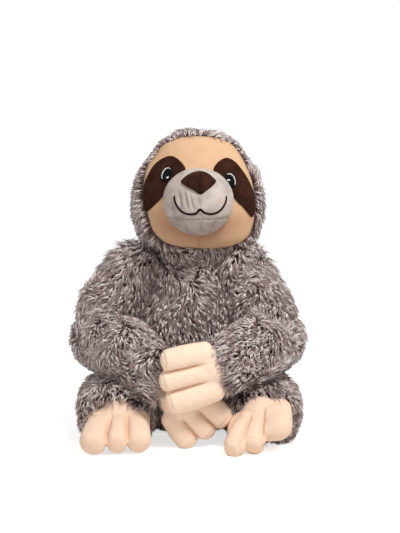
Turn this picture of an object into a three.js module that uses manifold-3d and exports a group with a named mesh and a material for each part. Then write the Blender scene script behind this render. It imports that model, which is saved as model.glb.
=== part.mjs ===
// A seated plush sloth: fur skins over stuffing, a smooth face, and three-fingered hands and feet.
// Millimetres, +Z up. The toy faces -Y, and its left side is +X.
// The origin is the middle of the flat seat, on the surface that the toy sits on.
import * as THREE from 'three';
import { mergeVertices } from 'three/addons/utils/BufferGeometryUtils.js';
import Module from 'manifold-3d';

const wasm = await Module();
wasm.setup();

// Fabric and fit
const furWall = 4;
const smoothWall = 2.5;
const seamGap = 0.3;
const looseGap = 2.6;
const swingGap = 0.8;
const settleDepth = 0.5;
const cutOverrun = 60;

// Torso, a pear that widens to the belly
const torsoHeight = 178;
const bellyHalfWidth = 60;
const bellyHalfDepth = 57;
const chestHalfWidth = 44;
const chestHalfDepth = 37;
const torsoBackset = 8;
const pelletBagHalfWidth = 24;
const pelletBagHalfHeight = 13;
const backSeamWidth = 3;
const backSeamHeight = 1;
const backSeamLength = 78;

// Head, a rounded block that sits a little to the toy's left
const headHalfWidth = 62;
const headHalfHeight = 57;
const headHalfDepth = 55;
const headSideways = 9;
const headCentreHeight = 239;
const neckBallRadius = 24;
const neckHeight = 180;

// Face panel, patches, eyes, muzzle, nose and mouth
const panelThickness = 2;
const patchThickness = 1.6;
const eyeThickness = 1;
const threadThickness = 0.8;
const faceHalfWidth = 55;
const faceHalfHeight = 56;
const eyeSpacing = 62;
const eyeHeight = 18.5;
const eyeHalfLength = 8.4;
const eyeHalfWidth = 5.6;
const eyeRimWidth = 2;
const highlightHalfLength = 2.4;
const highlightHalfWidth = 1.3;
const muzzleHalfWidth = 34.5;
const muzzleHalfHeight = 31.5;
const muzzleHalfDepth = 38;
const muzzleDrop = 4;
const muzzleForward = 55;
const jawSeamDrop = 15;
const noseHalfWidth = 17;
const noseHalfHeight = 11.5;
const noseThickness = 4;
const noseRise = 21;
const mouthHalfWidth = 25;
const mouthDepth = 18;
const mouthRise = 6;
const threadWidth = 2;
const chinSeamLength = 17;

// Arms
const shoulderSpread = 52;
const shoulderHeight = 155;
const shoulderRadius = 27;
const upperArmLength = 74;
const upperArmGirth = 30;
const leftUpperArmArch = 1;
const rightUpperArmArch = 7;
const elbowRadius = 28;
const forearmLength = 103;
const forearmGirth = 26;
const forearmArch = 16;
const leftCuffRadius = 22;
const rightCuffRadius = 19;
const handRootRadius = 14;
const handLength = 60;
const handHalfWidth = 27;
const handHalfThickness = 11;
const fingerHalfWidth = 9.8;

// Legs
const hipSpread = 46;
const hipRadius = 31;
const legLength = 90;
const legGirth = 34;
const legArch = 12;
const legRise = 1;
const ankleHalfWidth = 30;
const ankleHalfHeight = 26;
const footRootRadius = 19;
const footLength = 57;
const footHalfWidth = 33;
const footHalfThickness = 13;
const toeHalfWidth = 12;

// How far the joints swing from the seated pose, in degrees
const leftElbowSwing = 60;
const rightElbowSwing = 4;
const leftWristSwing = 30;
const rightWristSwing = 15;
const ankleSwing = 25;

const fullTurn = Math.PI * 2;
const degrees = Math.PI / 180;
const fewestSides = 6;
const socketSides = 10;
const fineSides = 11;
const looseSides = 8;
const cuffDomeShare = 0.22;
const cuffReachShare = 0.4;
const rootFullnessShare = 1.075;
const seatSquarenessShare = 0.6;
const seatTurnShare = 0.8;

// Solids from closed triangle meshes
function toSolid(geometry) {
  const bare = geometry.index ? geometry : geometry.clone();
  bare.deleteAttribute('normal');
  bare.deleteAttribute('uv');
  const merged = mergeVertices(bare);
  return new wasm.Manifold(new wasm.Mesh({
    numProp: 3,
    vertProperties: new Float32Array(merged.attributes.position.array),
    triVerts: new Uint32Array(merged.index.array),
  }));
}

function toMesh(name, solid, material) {
  const mesh = solid.getMesh();
  const geometry = new THREE.BufferGeometry();
  geometry.setAttribute('position', new THREE.BufferAttribute(new Float32Array(mesh.vertProperties), 3));
  geometry.setIndex(new THREE.BufferAttribute(new Uint32Array(mesh.triVerts), 1));
  geometry.computeVertexNormals();
  const part = new THREE.Mesh(geometry, material);
  part.name = name;
  return part;
}

function point(x, y, z) {
  return new THREE.Vector3(x, y, z);
}

// The place a given length away from another, in a direction given by three shares
function along(start, length, directionShares) {
  const direction = new THREE.Vector3(...directionShares).normalize();
  return start.clone().addScaledVector(direction, length);
}

// A stuffed form: oval rings that swell and taper along a path, with a rounded dome at each end.
// Each girth is the half size across and the half size through. An inset shrinks the form all round,
// and a negative one grows it. Insides are hidden, so they have fewer faces. A seated form starts
// with a flat round face, which the last ring of its dome bounds.
function swell(form, inset = 0) {
  const { path, girths, across, domes, seated = false } = form;
  const hidden = inset > 0;
  const sides = hidden ? Math.max(fewestSides, Math.round(form.sides / 2)) : form.sides;
  const rings = hidden ? Math.max(1, Math.floor(form.rings / 2)) : form.rings;
  const domeRings = hidden ? [2, 1] : form.domeRings;
  const spine = new THREE.CatmullRomCurve3(path, false, 'centripetal');
  const girthCurve = new THREE.CatmullRomCurve3(girths.map(([wide, deep]) => point(wide, deep, 0)));
  const domeStation = (t, depth, share, squareness) => {
    const angle = share * Math.PI / 2;
    return {
      t,
      push: (depth - Math.sign(depth) * inset) * Math.sin(angle) ** squareness,
      fullness: Math.max(0, Math.cos(angle)) ** squareness,
    };
  };
  const stations = [];
  if (seated) stations.push(domeStation(0, -domes[0], 1, seatSquarenessShare));
  for (let step = domeRings[0]; step >= 1; step -= 1) {
    const share = seated ? (step / domeRings[0]) * seatTurnShare : step / domeRings[0];
    const station = domeStation(0, -domes[0], share, seated ? seatSquarenessShare : 1);
    if (seated && step === domeRings[0]) station.push = stations[0].push;
    stations.push(station);
  }
  for (let step = 0; step <= rings; step += 1) {
    stations.push({ t: step / rings, push: 0, fullness: 1 });
  }
  for (let step = 1; step <= domeRings[1]; step += 1) {
    stations.push(domeStation(1, domes[1], step / domeRings[1], 1));
  }
  const vertices = [];
  stations.forEach(({ t, push, fullness }, index) => {
    const tangent = spine.getTangent(t);
    const centre = spine.getPoint(t).addScaledVector(tangent, push);
    if (index === 0 || index === stations.length - 1) {
      vertices.push(centre);
      return;
    }
    const girth = girthCurve.getPoint(t);
    const wide = across.clone().addScaledVector(tangent, -across.dot(tangent)).normalize();
    const deep = tangent.clone().cross(wide);
    for (let side = 0; side < sides; side += 1) {
      const angle = (side / sides) * fullTurn;
      vertices.push(centre.clone()
        .addScaledVector(wide, (girth.x - inset) * fullness * Math.cos(angle))
        .addScaledVector(deep, (girth.y - inset) * fullness * Math.sin(angle)));
    }
  });
  const ringCount = stations.length - 2;
  const last = vertices.length - 1;
  const at = (ring, side) => 1 + ring * sides + (side % sides);
  const index = [];
  for (let side = 0; side < sides; side += 1) {
    index.push(0, at(0, side + 1), at(0, side));
    for (let ring = 0; ring < ringCount - 1; ring += 1) {
      index.push(at(ring, side), at(ring, side + 1), at(ring + 1, side + 1));
      index.push(at(ring, side), at(ring + 1, side + 1), at(ring + 1, side));
    }
    index.push(at(ringCount - 1, side), at(ringCount - 1, side + 1), last);
  }
  const geometry = new THREE.BufferGeometry().setFromPoints(vertices);
  geometry.setIndex(index);
  return toSolid(geometry);
}

// How far a faceted ball's corners reach past its faces
const ballRows = (sides) => Math.round(sides * 0.6);
const cornerShare = (sides) => 1 / (Math.cos(Math.PI / sides) * Math.cos(Math.PI / ballRows(sides) / 2));

// A ball whose faces, not its corners, lie at the radius
function ball(centre, radius, sides) {
  const geometry = new THREE.SphereGeometry(radius * cornerShare(sides), sides, ballRows(sides));
  return toSolid(geometry.translate(centre.x, centre.y, centre.z));
}

// A box on the far side of a plane, which passes at a distance from a place and has a given normal
function beyond(place, normal, distance) {
  const size = cutOverrun * 4;
  const geometry = new THREE.BoxGeometry(size, size, size);
  const turn = new THREE.Quaternion().setFromUnitVectors(point(0, 0, 1), normal);
  const centre = place.clone().addScaledVector(normal, distance + size / 2);
  geometry.applyQuaternion(turn);
  return toSolid(geometry.translate(centre.x, centre.y, centre.z));
}

function ellipsoid(centre, halfWidth, halfDepth, halfHeight, sides) {
  const geometry = new THREE.SphereGeometry(1, sides, Math.round(sides * 0.6));
  geometry.rotateX(Math.PI / 2);
  geometry.scale(halfWidth, halfDepth, halfHeight);
  return toSolid(geometry.translate(centre.x, centre.y, centre.z));
}

// A flat outline in X and Z, pushed out along -Y or +Y from the toy's middle plane
function prism(outline, centre, forward) {
  const shape = new THREE.Shape(outline.map(([x, z]) => new THREE.Vector2(x, z)));
  const geometry = new THREE.ExtrudeGeometry(shape, { depth: forward, bevelEnabled: false });
  geometry.rotateX(Math.PI / 2);
  return toSolid(geometry.translate(centre.x, centre.y, centre.z));
}

// A smooth closed outline through a few points
function smoothOutline(points, steps) {
  const curve = new THREE.CatmullRomCurve3(points.map(([x, z]) => point(x, z, 0)), true, 'centripetal');
  return curve.getPoints(steps).slice(0, steps).map((place) => [place.x, place.y]);
}

// A band of constant width along an open line
function bandOutline(points, width, steps) {
  const curve = new THREE.CatmullRomCurve3(points.map(([x, z]) => point(x, z, 0)), false, 'centripetal');
  const left = [];
  const right = [];
  for (let step = 0; step <= steps; step += 1) {
    const place = curve.getPoint(step / steps);
    const tangent = curve.getTangent(step / steps);
    left.push([place.x - tangent.y * width / 2, place.y + tangent.x * width / 2]);
    right.unshift([place.x + tangent.y * width / 2, place.y - tangent.x * width / 2]);
  }
  return left.concat(right);
}

function ovalOutline(halfLength, halfWidth, lean, steps) {
  const outline = [];
  for (let step = 0; step < steps; step += 1) {
    const angle = (step / steps) * fullTurn;
    const alongAxis = halfLength * Math.cos(angle);
    const acrossAxis = halfWidth * Math.sin(angle);
    outline.push([
      alongAxis * Math.sin(lean) + acrossAxis * Math.cos(lean),
      alongAxis * Math.cos(lean) - acrossAxis * Math.sin(lean),
    ]);
  }
  return outline;
}

function shifted(outline, x, z) {
  return outline.map(([px, pz]) => [px + x, pz + z]);
}

function scaledPoints(shares, width, height) {
  return shares.map(([x, z]) => [x * width, z * height]);
}

// What lies below the surface that the toy sits on
const floorCutter = (() => {
  const size = (torsoHeight + cutOverrun) * 2;
  const geometry = new THREE.BoxGeometry(size, size, cutOverrun);
  return toSolid(geometry.translate(0, 0, -cutOverrun / 2));
})();

// Joint places
const shoulder = (side) => point(side * shoulderSpread, 0, shoulderHeight);
const hip = (side) => point(side * hipSpread, 0, hipRadius - settleDepth);
const upperArmDirectionShares = { left: [0.44, -0.34, -0.83], right: [-0.45, -0.16, -0.8] };
const forearmDirectionShares = { left: [-0.56, -0.81, -0.14], right: [0.61, -0.745, -0.265] };
const legDirectionShares = { left: [0.26, -0.96, -0.05], right: [-0.25, -0.965, -0.07] };
const limbSide = { left: 1, right: -1 };
const elbowAxisShares = { left: [-0.4, 0, 0.92], right: [-0.36, 0.85, 0.39] };
const wristAxisShares = { left: [-0.25, 0, 0.97], right: [-0.13, 0.5, 0.86] };
const ankleAxisShares = [-1, 0, 0];
const elbow = (name) => along(shoulder(limbSide[name]), upperArmLength, upperArmDirectionShares[name]);
const wrist = (name) => along(elbow(name), forearmLength, forearmDirectionShares[name]);
const ankle = (name) => along(hip(limbSide[name]), legLength, legDirectionShares[name]);
const neckPlace = point(headSideways / 2, torsoBackset / 2, neckHeight);
const headCentre = point(headSideways, 0, headCentreHeight);

// Where each finger and toe starts and ends, as shares of its hand or foot, and which way the palm is broad
const leftFingerShares = [
  [[-0.08, -0.18, -0.29], [-0.6, -0.2, -0.52]],
  [[-0.03, -0.18, 0], [-0.72, -0.21, -0.16]],
  [[-0.05, -0.18, 0.28], [-0.76, -0.2, 0.17]],
];
const rightFingerShares = [
  [[0.17, -0.12, -0.36], [0.34, -0.15, -0.84]],
  [[0.38, -0.13, -0.3], [0.67, -0.16, -0.74]],
  [[0.53, -0.13, -0.17], [0.91, -0.13, -0.54]],
];
const leftToeShares = [
  [[-0.35, -0.39, -0.13], [-0.5, -0.78, -0.27]],
  [[-0.09, -0.32, -0.11], [-0.2, -0.7, -0.25]],
  [[0.2, -0.2, 0.08], [0.14, -0.56, -0.03]],
];
const rightToeShares = [
  [[-0.34, -0.35, -0.07], [-0.39, -0.74, -0.18]],
  [[0, -0.33, -0.07], [0, -0.72, -0.18]],
  [[0.33, -0.23, -0.07], [0.38, -0.6, -0.18]],
];
const forearmArchShares = { left: point(0.6, -0.85, 0.5), right: point(-0.25, -0.75, 0.65) };
const leftPalmAcross = point(-0.15, 0, 0.99);
const rightPalmAcross = point(0.68, 0, 0.55);
const leftSoleAcross = point(0.9, 0.2, 0.36);
const rightSoleAcross = point(1, 0.12, 0);

// Stuffed forms of the body
const torsoForm = {
  path: [
    point(0, torsoBackset, torsoHeight * 0.16),
    point(0, torsoBackset, torsoHeight * 0.42),
    point(0, torsoBackset * 0.8, torsoHeight * 0.68),
    point(headSideways / 4, torsoBackset / 2, torsoHeight * 0.88),
  ],
  girths: [
    [bellyHalfWidth * 0.96, bellyHalfDepth * 0.96],
    [bellyHalfWidth, bellyHalfDepth],
    [(bellyHalfWidth + chestHalfWidth) / 2, (bellyHalfDepth + chestHalfDepth) / 2],
    [chestHalfWidth, chestHalfDepth],
  ],
  across: point(1, 0, 0),
  domes: [torsoHeight * 0.16 + settleDepth, torsoHeight * 0.12],
  seated: true,
  sides: 16,
  rings: 4,
  domeRings: [3, 3],
};

const headForm = {
  path: [-0.75, -0.37, 0, 0.36, 0.71].map((share) => (
    headCentre.clone().add(point(0, 0, headHalfHeight * share)))),
  girths: [0.9, 1, 0.98, 0.91, 0.69].map((share) => [headHalfWidth * share, headHalfDepth * share]),
  across: point(1, 0, 0),
  domes: [headHalfHeight * 0.25, headHalfHeight * 0.29],
  sides: 20,
  rings: 4,
  domeRings: [3, 3],
};

function upperArmForm(name) {
  const start = shoulder(limbSide[name]);
  const end = elbow(name);
  const arch = { left: leftUpperArmArch, right: rightUpperArmArch }[name];
  const middle = start.clone().lerp(end, 0.5).add(point(limbSide[name] * arch, 0, arch / 2));
  return {
    path: [start, middle, end],
    girths: [[shoulderRadius, shoulderRadius], [upperArmGirth, upperArmGirth], [elbowRadius, elbowRadius]],
    across: point(1, 0, 0),
    domes: [shoulderRadius, elbowRadius * 0.5],
    sides: 12,
    rings: 2,
    domeRings: [3, 1],
  };
}

function forearmForm(name) {
  const start = elbow(name);
  const end = wrist(name);
  const cuff = { left: leftCuffRadius, right: rightCuffRadius }[name];
  const middle = start.clone().lerp(end, 0.5).addScaledVector(forearmArchShares[name], forearmArch);
  return {
    path: [start, middle, end],
    girths: [[elbowRadius, elbowRadius], [forearmGirth, forearmGirth], [cuff, cuff]],
    across: point(1, 0, 0),
    domes: [elbowRadius, cuff * cuffDomeShare],
    sides: 12,
    rings: 4,
    domeRings: [3, 1],
  };
}

function legForm(name) {
  const start = hip(limbSide[name]);
  const end = ankle(name);
  const middle = start.clone().lerp(end, 0.5).add(point(limbSide[name] * legArch, 0, legRise));
  return {
    path: [start, middle, end],
    girths: [[hipRadius, hipRadius], [legGirth, legGirth], [ankleHalfWidth, ankleHalfHeight]],
    across: point(1, 0, 0),
    domes: [hipRadius, ankleHalfHeight * cuffDomeShare],
    sides: 12,
    rings: 2,
    domeRings: [2, 1],
  };
}

// A hand or foot: a palm from the joint, and three plump fingers or toes joined side by side
function pawForms({ joint, length, digitShares, across, rootRadius, halfWidth, halfThickness, digitHalfWidth }) {
  const placed = (shares) => joint.clone().addScaledVector(new THREE.Vector3(...shares), length);
  const digits = digitShares.map(([rootShares, tipShares]) => [placed(rootShares), placed(tipShares)]);
  const middle = (ends) => ends[0].clone().add(ends[1]).add(ends[2]).divideScalar(ends.length);
  const roots = middle(digits.map(([root]) => root));
  const tips = middle(digits.map(([, tip]) => tip));
  const fullRoot = rootRadius * rootFullnessShare;
  const palm = {
    path: [joint, roots, roots.clone().lerp(tips, 0.6)],
    girths: [[fullRoot, fullRoot], [halfWidth * 0.82, halfThickness * 0.9], [halfWidth * 0.9, halfThickness * 0.85]],
    across,
    domes: [fullRoot, halfThickness * 0.8],
    sides: 8,
    rings: 2,
    domeRings: [2, 1],
  };
  const digitForms = digits.map(([root, tip]) => ({
    path: [root, root.clone().lerp(tip, 0.55), tip],
    girths: [0.94, 1.04, 0.94].map((share) => [digitHalfWidth * share, halfThickness * share]),
    across,
    domes: [digitHalfWidth * 0.7, digitHalfWidth * 0.8],
    sides: 6,
    rings: 2,
    domeRings: [1, 2],
  }));
  return [palm, ...digitForms];
}

function handForms(name) {
  return pawForms({
    joint: wrist(name),
    length: handLength,
    digitShares: { left: leftFingerShares, right: rightFingerShares }[name],
    across: { left: leftPalmAcross, right: rightPalmAcross }[name],
    rootRadius: handRootRadius,
    halfWidth: handHalfWidth,
    halfThickness: handHalfThickness,
    digitHalfWidth: fingerHalfWidth,
  });
}

function footForms(name) {
  return pawForms({
    joint: ankle(name),
    length: footLength,
    digitShares: { left: leftToeShares, right: rightToeShares }[name],
    across: { left: leftSoleAcross, right: rightSoleAcross }[name],
    rootRadius: footRootRadius,
    halfWidth: footHalfWidth,
    halfThickness: footHalfThickness,
    digitHalfWidth: toeHalfWidth,
  });
}

function joined(forms, inset) {
  return forms.map((form) => swell(form, inset)).reduce((whole, piece) => whole.add(piece));
}

function cutAll(solid, cutters) {
  return cutters.reduce((rest, cutter) => rest.subtract(cutter), solid);
}

// The largest body of a cut solid, without the crumbs that a cut along a curved flank leaves
function mainBody(solid) {
  return solid.decompose().reduce((largest, body) => (body.volume() > largest.volume() ? body : largest));
}

// A skin with its stuffing. The solid at an inset gives the skin's outside, its inside and the stuffing.
function stuffed(solidAt, openings, looseOpenings, wall) {
  return {
    skin: mainBody(cutAll(mainBody(solidAt(0)).subtract(mainBody(solidAt(wall))), openings)),
    filling: mainBody(cutAll(solidAt(wall + seamGap), looseOpenings)),
  };
}

const colours = {
  fur: 0x8c7876,
  face: 0xf0c89e,
  patch: 0x3c2319,
  muzzle: 0xcdc3bc,
  jaw: 0xbdb2aa,
  peach: 0xfadcbe,
  thread: 0x18141a,
  white: 0xe8e8ea,
  filling: 0xf4f2ee,
  pellets: 0xd8d2c4,
};

function fabric(colour, roughness) {
  return new THREE.MeshStandardMaterial({ color: colour, roughness, metalness: 0 });
}

const furFabric = fabric(colours.fur, 0.95);
const peachFabric = fabric(colours.peach, 0.85);
const fillingFibre = fabric(colours.filling, 1);
const whiteThread = fabric(colours.white, 0.5);
const darkThread = fabric(colours.thread, 0.45);

const sloth = new THREE.Group();
sloth.name = 'plush_sloth';

function add(name, solid, material) {
  sloth.add(toMesh(name, solid, material));
}

// A limb's round end keeps inside one ball, and turns in a socket a little larger. Stuffing keeps
// further away.
const keep = (centre, radius, sides = socketSides) => ball(centre, radius, sides);
const snug = (centre, radius, sides = socketSides) => (
  ball(centre, radius * cornerShare(sides) + seamGap, socketSides));
const loose = (centre, radius, sides = socketSides) => (
  ball(centre, radius * cornerShare(sides) + looseGap, looseSides));
const torsoBalls = [
  [neckPlace, neckBallRadius, fineSides],
  [shoulder(1), shoulderRadius],
  [shoulder(-1), shoulderRadius],
  [hip(1), hipRadius],
  [hip(-1), hipRadius],
];

function makeTorso() {
  const solidAt = (inset) => swell(torsoForm, inset).subtract(floorCutter);
  const sockets = torsoBalls.map((socket) => snug(...socket));
  const looseSockets = torsoBalls.map((socket) => loose(...socket));
  const { skin, filling } = stuffed(solidAt, sockets, looseSockets, furWall);
  const bagBottom = furWall + seamGap - settleDepth;
  const bagCentre = point(0, torsoBackset + bellyHalfDepth * 0.5, bagBottom + pelletBagHalfHeight);
  const bag = (grow) => ellipsoid(
    bagCentre,
    pelletBagHalfWidth + grow,
    pelletBagHalfWidth * 0.7 + grow,
    pelletBagHalfHeight + grow,
    12,
  );
  add('torso_skin', skin, furFabric);
  const room = swell(torsoForm, furWall + seamGap);
  add('torso_filling', filling.subtract(bag(seamGap)), fillingFibre);
  add('pellet_bag', mainBody(cutAll(bag(0).intersect(room), looseSockets)), fabric(colours.pellets, 0.8));
  const strip = prism(
    bandOutline([[0, torsoHeight * 0.3], [0, torsoHeight * 0.3 + backSeamLength]], backSeamWidth, 12),
    point(0, torsoBackset + bellyHalfDepth * 2, 0),
    bellyHalfDepth * 2,
  );
  const layer = swell(torsoForm, -seamGap - backSeamHeight).subtract(swell(torsoForm, -seamGap));
  add('back_closing_seam', strip.intersect(layer), fabric(colours.fur, 0.6));
}

function makeHead() {
  const solidAt = (inset) => swell(headForm, inset);
  const neck = [neckPlace, neckBallRadius, fineSides];
  const { skin, filling } = stuffed(solidAt, [snug(...neck)], [loose(...neck)], furWall);
  add('neck_filling', keep(neckPlace, neckBallRadius, fineSides), fillingFibre);
  add('head_skin', skin, furFabric);
  add('head_filling', filling, fillingFibre);
}

function headLayer(inner, thickness) {
  return swell(headForm, -inner - thickness).subtract(swell(headForm, -inner));
}

const faceOutlineShares = [
  [0, 0.93], [0.42, 0.86], [0.64, 0.7], [0.82, 0.44], [0.95, 0.2], [1, -0.05], [1, -0.32],
  [0.97, -0.6], [0.9, -0.76], [0.62, -0.9], [0.3, -0.98], [0, -1],
  [-0.3, -0.98], [-0.6, -0.9], [-0.82, -0.7], [-0.96, -0.3], [-1, 0], [-1, 0.36], [-0.9, 0.52],
  [-0.76, 0.72], [-0.5, 0.86],
];
const leftPatchShares = [
  [0.5, 0.68], [0.34, 0.6], [0.26, 0.42], [0.4, 0.37], [0.56, 0.19], [0.64, -0.01], [0.82, -0.19],
  [0.97, -0.36], [1.01, -0.16], [1.0, 0.03], [0.9, 0.27], [0.78, 0.47], [0.64, 0.62],
];
const rightPatchShares = [
  [-0.45, 0.7], [-0.28, 0.63], [-0.23, 0.45], [-0.36, 0.39], [-0.54, 0.24], [-0.62, 0.07],
  [-0.76, -0.1], [-0.93, -0.22], [-1.0, 0.1], [-0.92, 0.33], [-0.78, 0.54], [-0.62, 0.66],
];
const noseShares = [[0, 0.86], [0.5, 0.5], [0.96, 0.16], [0.9, -0.06], [0.5, -0.46], [0.12, -1],
  [-0.12, -1], [-0.5, -0.46], [-0.9, -0.06], [-0.96, 0.16], [-0.5, 0.5]];
const mouthShares = [[-1, 0.02], [-0.86, -0.62], [-0.5, -0.97], [-0.22, -0.97], [0, -0.76],
  [0.22, -0.93], [0.42, -1], [0.74, -0.86], [0.95, -0.44], [1, 0]];

function makeFace() {
  const eyeLayer = seamGap * 3 + panelThickness + patchThickness;
  const muzzleCentre = headCentre.clone().add(point(0, -muzzleForward, -muzzleDrop));
  const muzzle = (grow) => ellipsoid(
    muzzleCentre,
    muzzleHalfWidth + grow,
    muzzleHalfDepth + grow,
    muzzleHalfHeight + grow,
    22,
  );
  const reach = headHalfDepth * 3;
  const cut = (outline) => prism(outline, headCentre, reach);
  const onMuzzle = (outline) => prism(outline, muzzleCentre, reach);

  const facePoints = scaledPoints(faceOutlineShares, faceHalfWidth, faceHalfHeight);
  const front = beyond(headCentre, point(0, 1, 0), -headHalfDepth * 0.4);
  const panel = cut(smoothOutline(facePoints, 34))
    .intersect(headLayer(seamGap, panelThickness))
    .subtract(front);
  add('face_panel', panel, fabric(colours.face, 0.85));

  const patchLayer = headLayer(seamGap * 2 + panelThickness, patchThickness).subtract(muzzle(seamGap));
  [['left', leftPatchShares, 1], ['right', rightPatchShares, -1]].forEach(([name, shares, side]) => {
    const points = scaledPoints(shares, faceHalfWidth, faceHalfHeight);
    add(`${name}_eye_patch`, cut(smoothOutline(points, 24)).intersect(patchLayer), fabric(colours.patch, 0.8));

    const lean = side * -0.35;
    const x = side * eyeSpacing / 2;
    const dark = cut(shifted(ovalOutline(eyeHalfLength, eyeHalfWidth, lean, 18), x, eyeHeight));
    const rimOval = ovalOutline(eyeHalfLength + eyeRimWidth, eyeHalfWidth + eyeRimWidth, lean, 18);
    const gapOval = ovalOutline(eyeHalfLength + seamGap, eyeHalfWidth + seamGap, lean, 18);
    const rim = cut(shifted(rimOval, x + side * seamGap, eyeHeight + seamGap))
      .subtract(cut(shifted(gapOval, x, eyeHeight)))
      .subtract(cut(shifted(rimOval, x - side * eyeHalfWidth, eyeHeight - eyeHalfWidth * 0.6)));
    const glintOval = ovalOutline(highlightHalfLength, highlightHalfWidth, fullTurn / 4 + lean, 12);
    const glint = cut(shifted(glintOval, x - side * highlightHalfLength * 0.5, eyeHeight - highlightHalfLength));
    const darkLayer = headLayer(eyeLayer, eyeThickness).subtract(muzzle(seamGap));
    add(`${name}_eye_pupil_stitching`, dark.intersect(darkLayer), darkThread);
    add(`${name}_eye_rim_stitching`, rim.intersect(darkLayer), whiteThread);
    const glintLayer = headLayer(eyeLayer + eyeThickness + seamGap, threadThickness);
    add(`${name}_eye_highlight_stitching`, glint.intersect(glintLayer), whiteThread);
  });

  const seat = swell(headForm, -seamGap * 2 - panelThickness);
  const shell = muzzle(0).subtract(muzzle(-smoothWall)).subtract(seat);
  const jawBox = (low) => {
    const size = muzzleHalfWidth * 4;
    const geometry = new THREE.BoxGeometry(size, size, size);
    const seam = muzzleCentre.z - jawSeamDrop;
    const z = low ? seam - seamGap / 2 - size / 2 : seam + seamGap / 2 + size / 2;
    return toSolid(geometry.translate(muzzleCentre.x, muzzleCentre.y, z));
  };
  add('muzzle_upper_skin', shell.intersect(jawBox(false)), fabric(colours.muzzle, 0.85));
  add('muzzle_jaw_skin', shell.intersect(jawBox(true)), fabric(colours.jaw, 0.85));
  add('muzzle_filling', muzzle(-smoothWall - seamGap).subtract(seat), fillingFibre);

  const nosePoints = shifted(scaledPoints(noseShares, noseHalfWidth, noseHalfHeight), 0, noseRise);
  const nose = onMuzzle(smoothOutline(nosePoints, 24))
    .intersect(muzzle(seamGap + noseThickness))
    .subtract(muzzle(seamGap));
  add('nose', nose, fabric(colours.patch, 0.8));

  const mouthPoints = shifted(scaledPoints(mouthShares, mouthHalfWidth, mouthDepth), 0, mouthRise);
  const mouth = onMuzzle(bandOutline(mouthPoints, threadWidth, 24))
    .intersect(muzzle(seamGap + threadThickness))
    .subtract(muzzle(seamGap));
  add('mouth_stitching', mouth, darkThread);

  const chinTop = -faceHalfHeight + chinSeamLength;
  const chin = cut(bandOutline([[0, -faceHalfHeight], [0, chinTop]], threadWidth / 2, 8))
    .intersect(headLayer(seamGap * 2 + panelThickness, threadThickness));
  add('chin_seam', chin, fabric(colours.face, 0.7));
}

// What a limb keeps clear of on the torso: all but the ball that turns in the torso's socket
function torsoBlock(joint, radius, inset) {
  return swell(torsoForm, -swingGap - inset).subtract(keep(joint, radius - inset));
}

// A plane between two parts of a limb that meet at a joint, half way between their directions
function jointNormal(joint, before, after) {
  const backward = before.clone().sub(joint).normalize();
  const forward = after.clone().sub(joint).normalize();
  return forward.sub(backward).normalize();
}

// What the outer part of a limb keeps clear of at a joint, at rest and when it is swung open
function jointBlock(joint, radius, normal, axis, swing, inset) {
  const swung = normal.clone().applyAxisAngle(axis, -swing * degrees);
  const halves = [normal, swung].map((direction) => (
    beyond(joint, direction.clone().negate(), -swingGap / 2 - inset)));
  return halves[0].add(halves[1]).subtract(keep(joint, radius - inset));
}

function makeArm(name) {
  const start = shoulder(limbSide[name]);
  const bend = elbow(name);
  const foreForm = forearmForm(name);
  const normal = jointNormal(bend, start, foreForm.path[1]);
  const swing = { left: leftElbowSwing, right: rightElbowSwing }[name];
  const axis = new THREE.Vector3(...elbowAxisShares[name]).normalize();

  const upperAt = (inset) => swell(upperArmForm(name), inset)
    .subtract(torsoBlock(start, shoulderRadius, inset))
    .subtract(beyond(bend, normal, -swingGap / 2 - inset));
  const upper = stuffed(upperAt, [snug(bend, elbowRadius)], [loose(bend, elbowRadius)], furWall);
  add(`${name}_upper_arm_skin`, upper.skin, furFabric);
  add(`${name}_upper_arm_filling`, upper.filling, fillingFibre);

  const joint = wrist(name);
  const foreAt = (inset) => swell(foreForm, inset)
    .subtract(jointBlock(bend, elbowRadius, normal, axis, swing, inset));
  const root = [joint, handRootRadius, fineSides];
  const fore = stuffed(foreAt, [snug(...root)], [loose(...root)], furWall);
  add(`${name}_forearm_skin`, fore.skin, furFabric);
  add(`${name}_forearm_filling`, fore.filling, fillingFibre);

  const wristSwing = { left: leftWristSwing, right: rightWristSwing }[name];
  const hand = makePaw(handForms(name), foreForm, joint, handRootRadius, wristAxisShares[name], wristSwing);
  add(`${name}_hand_skin`, hand.skin, peachFabric);
  add(`${name}_hand_filling`, hand.filling, fillingFibre);
}

// A hand or foot, clear of the blunt end of the limb that carries it, at rest and when it is swung
function makePaw(forms, limb, joint, rootRadius, axisShares, swing) {
  const axis = new THREE.Vector3(...axisShares).normalize();
  const ahead = new THREE.CatmullRomCurve3(limb.path, false, 'centripetal').getTangent(1);
  const back = ahead.clone().negate();
  const swung = back.clone().applyAxisAngle(axis, -swing * degrees);
  const pawAt = (inset) => {
    const reach = -limb.domes[1] * cuffReachShare - swingGap - inset;
    const halves = [back, swung].map((direction) => beyond(joint, direction, reach));
    const whole = inset > 0 ? swell(forms[0], inset) : joined(forms, inset);
    const rootBall = ball(joint, rootRadius - inset, inset > 0 ? looseSides : fineSides);
    return whole
      .subtract(halves[0].add(halves[1]).subtract(rootBall))
      .subtract(floorCutter);
  };
  const [root, next] = forms[0].path;
  const mouth = ball(along(root, -rootRadius, next.clone().sub(root).toArray()), rootRadius * 0.5, fewestSides);
  return stuffed(pawAt, [mouth], [], smoothWall);
}

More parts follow.
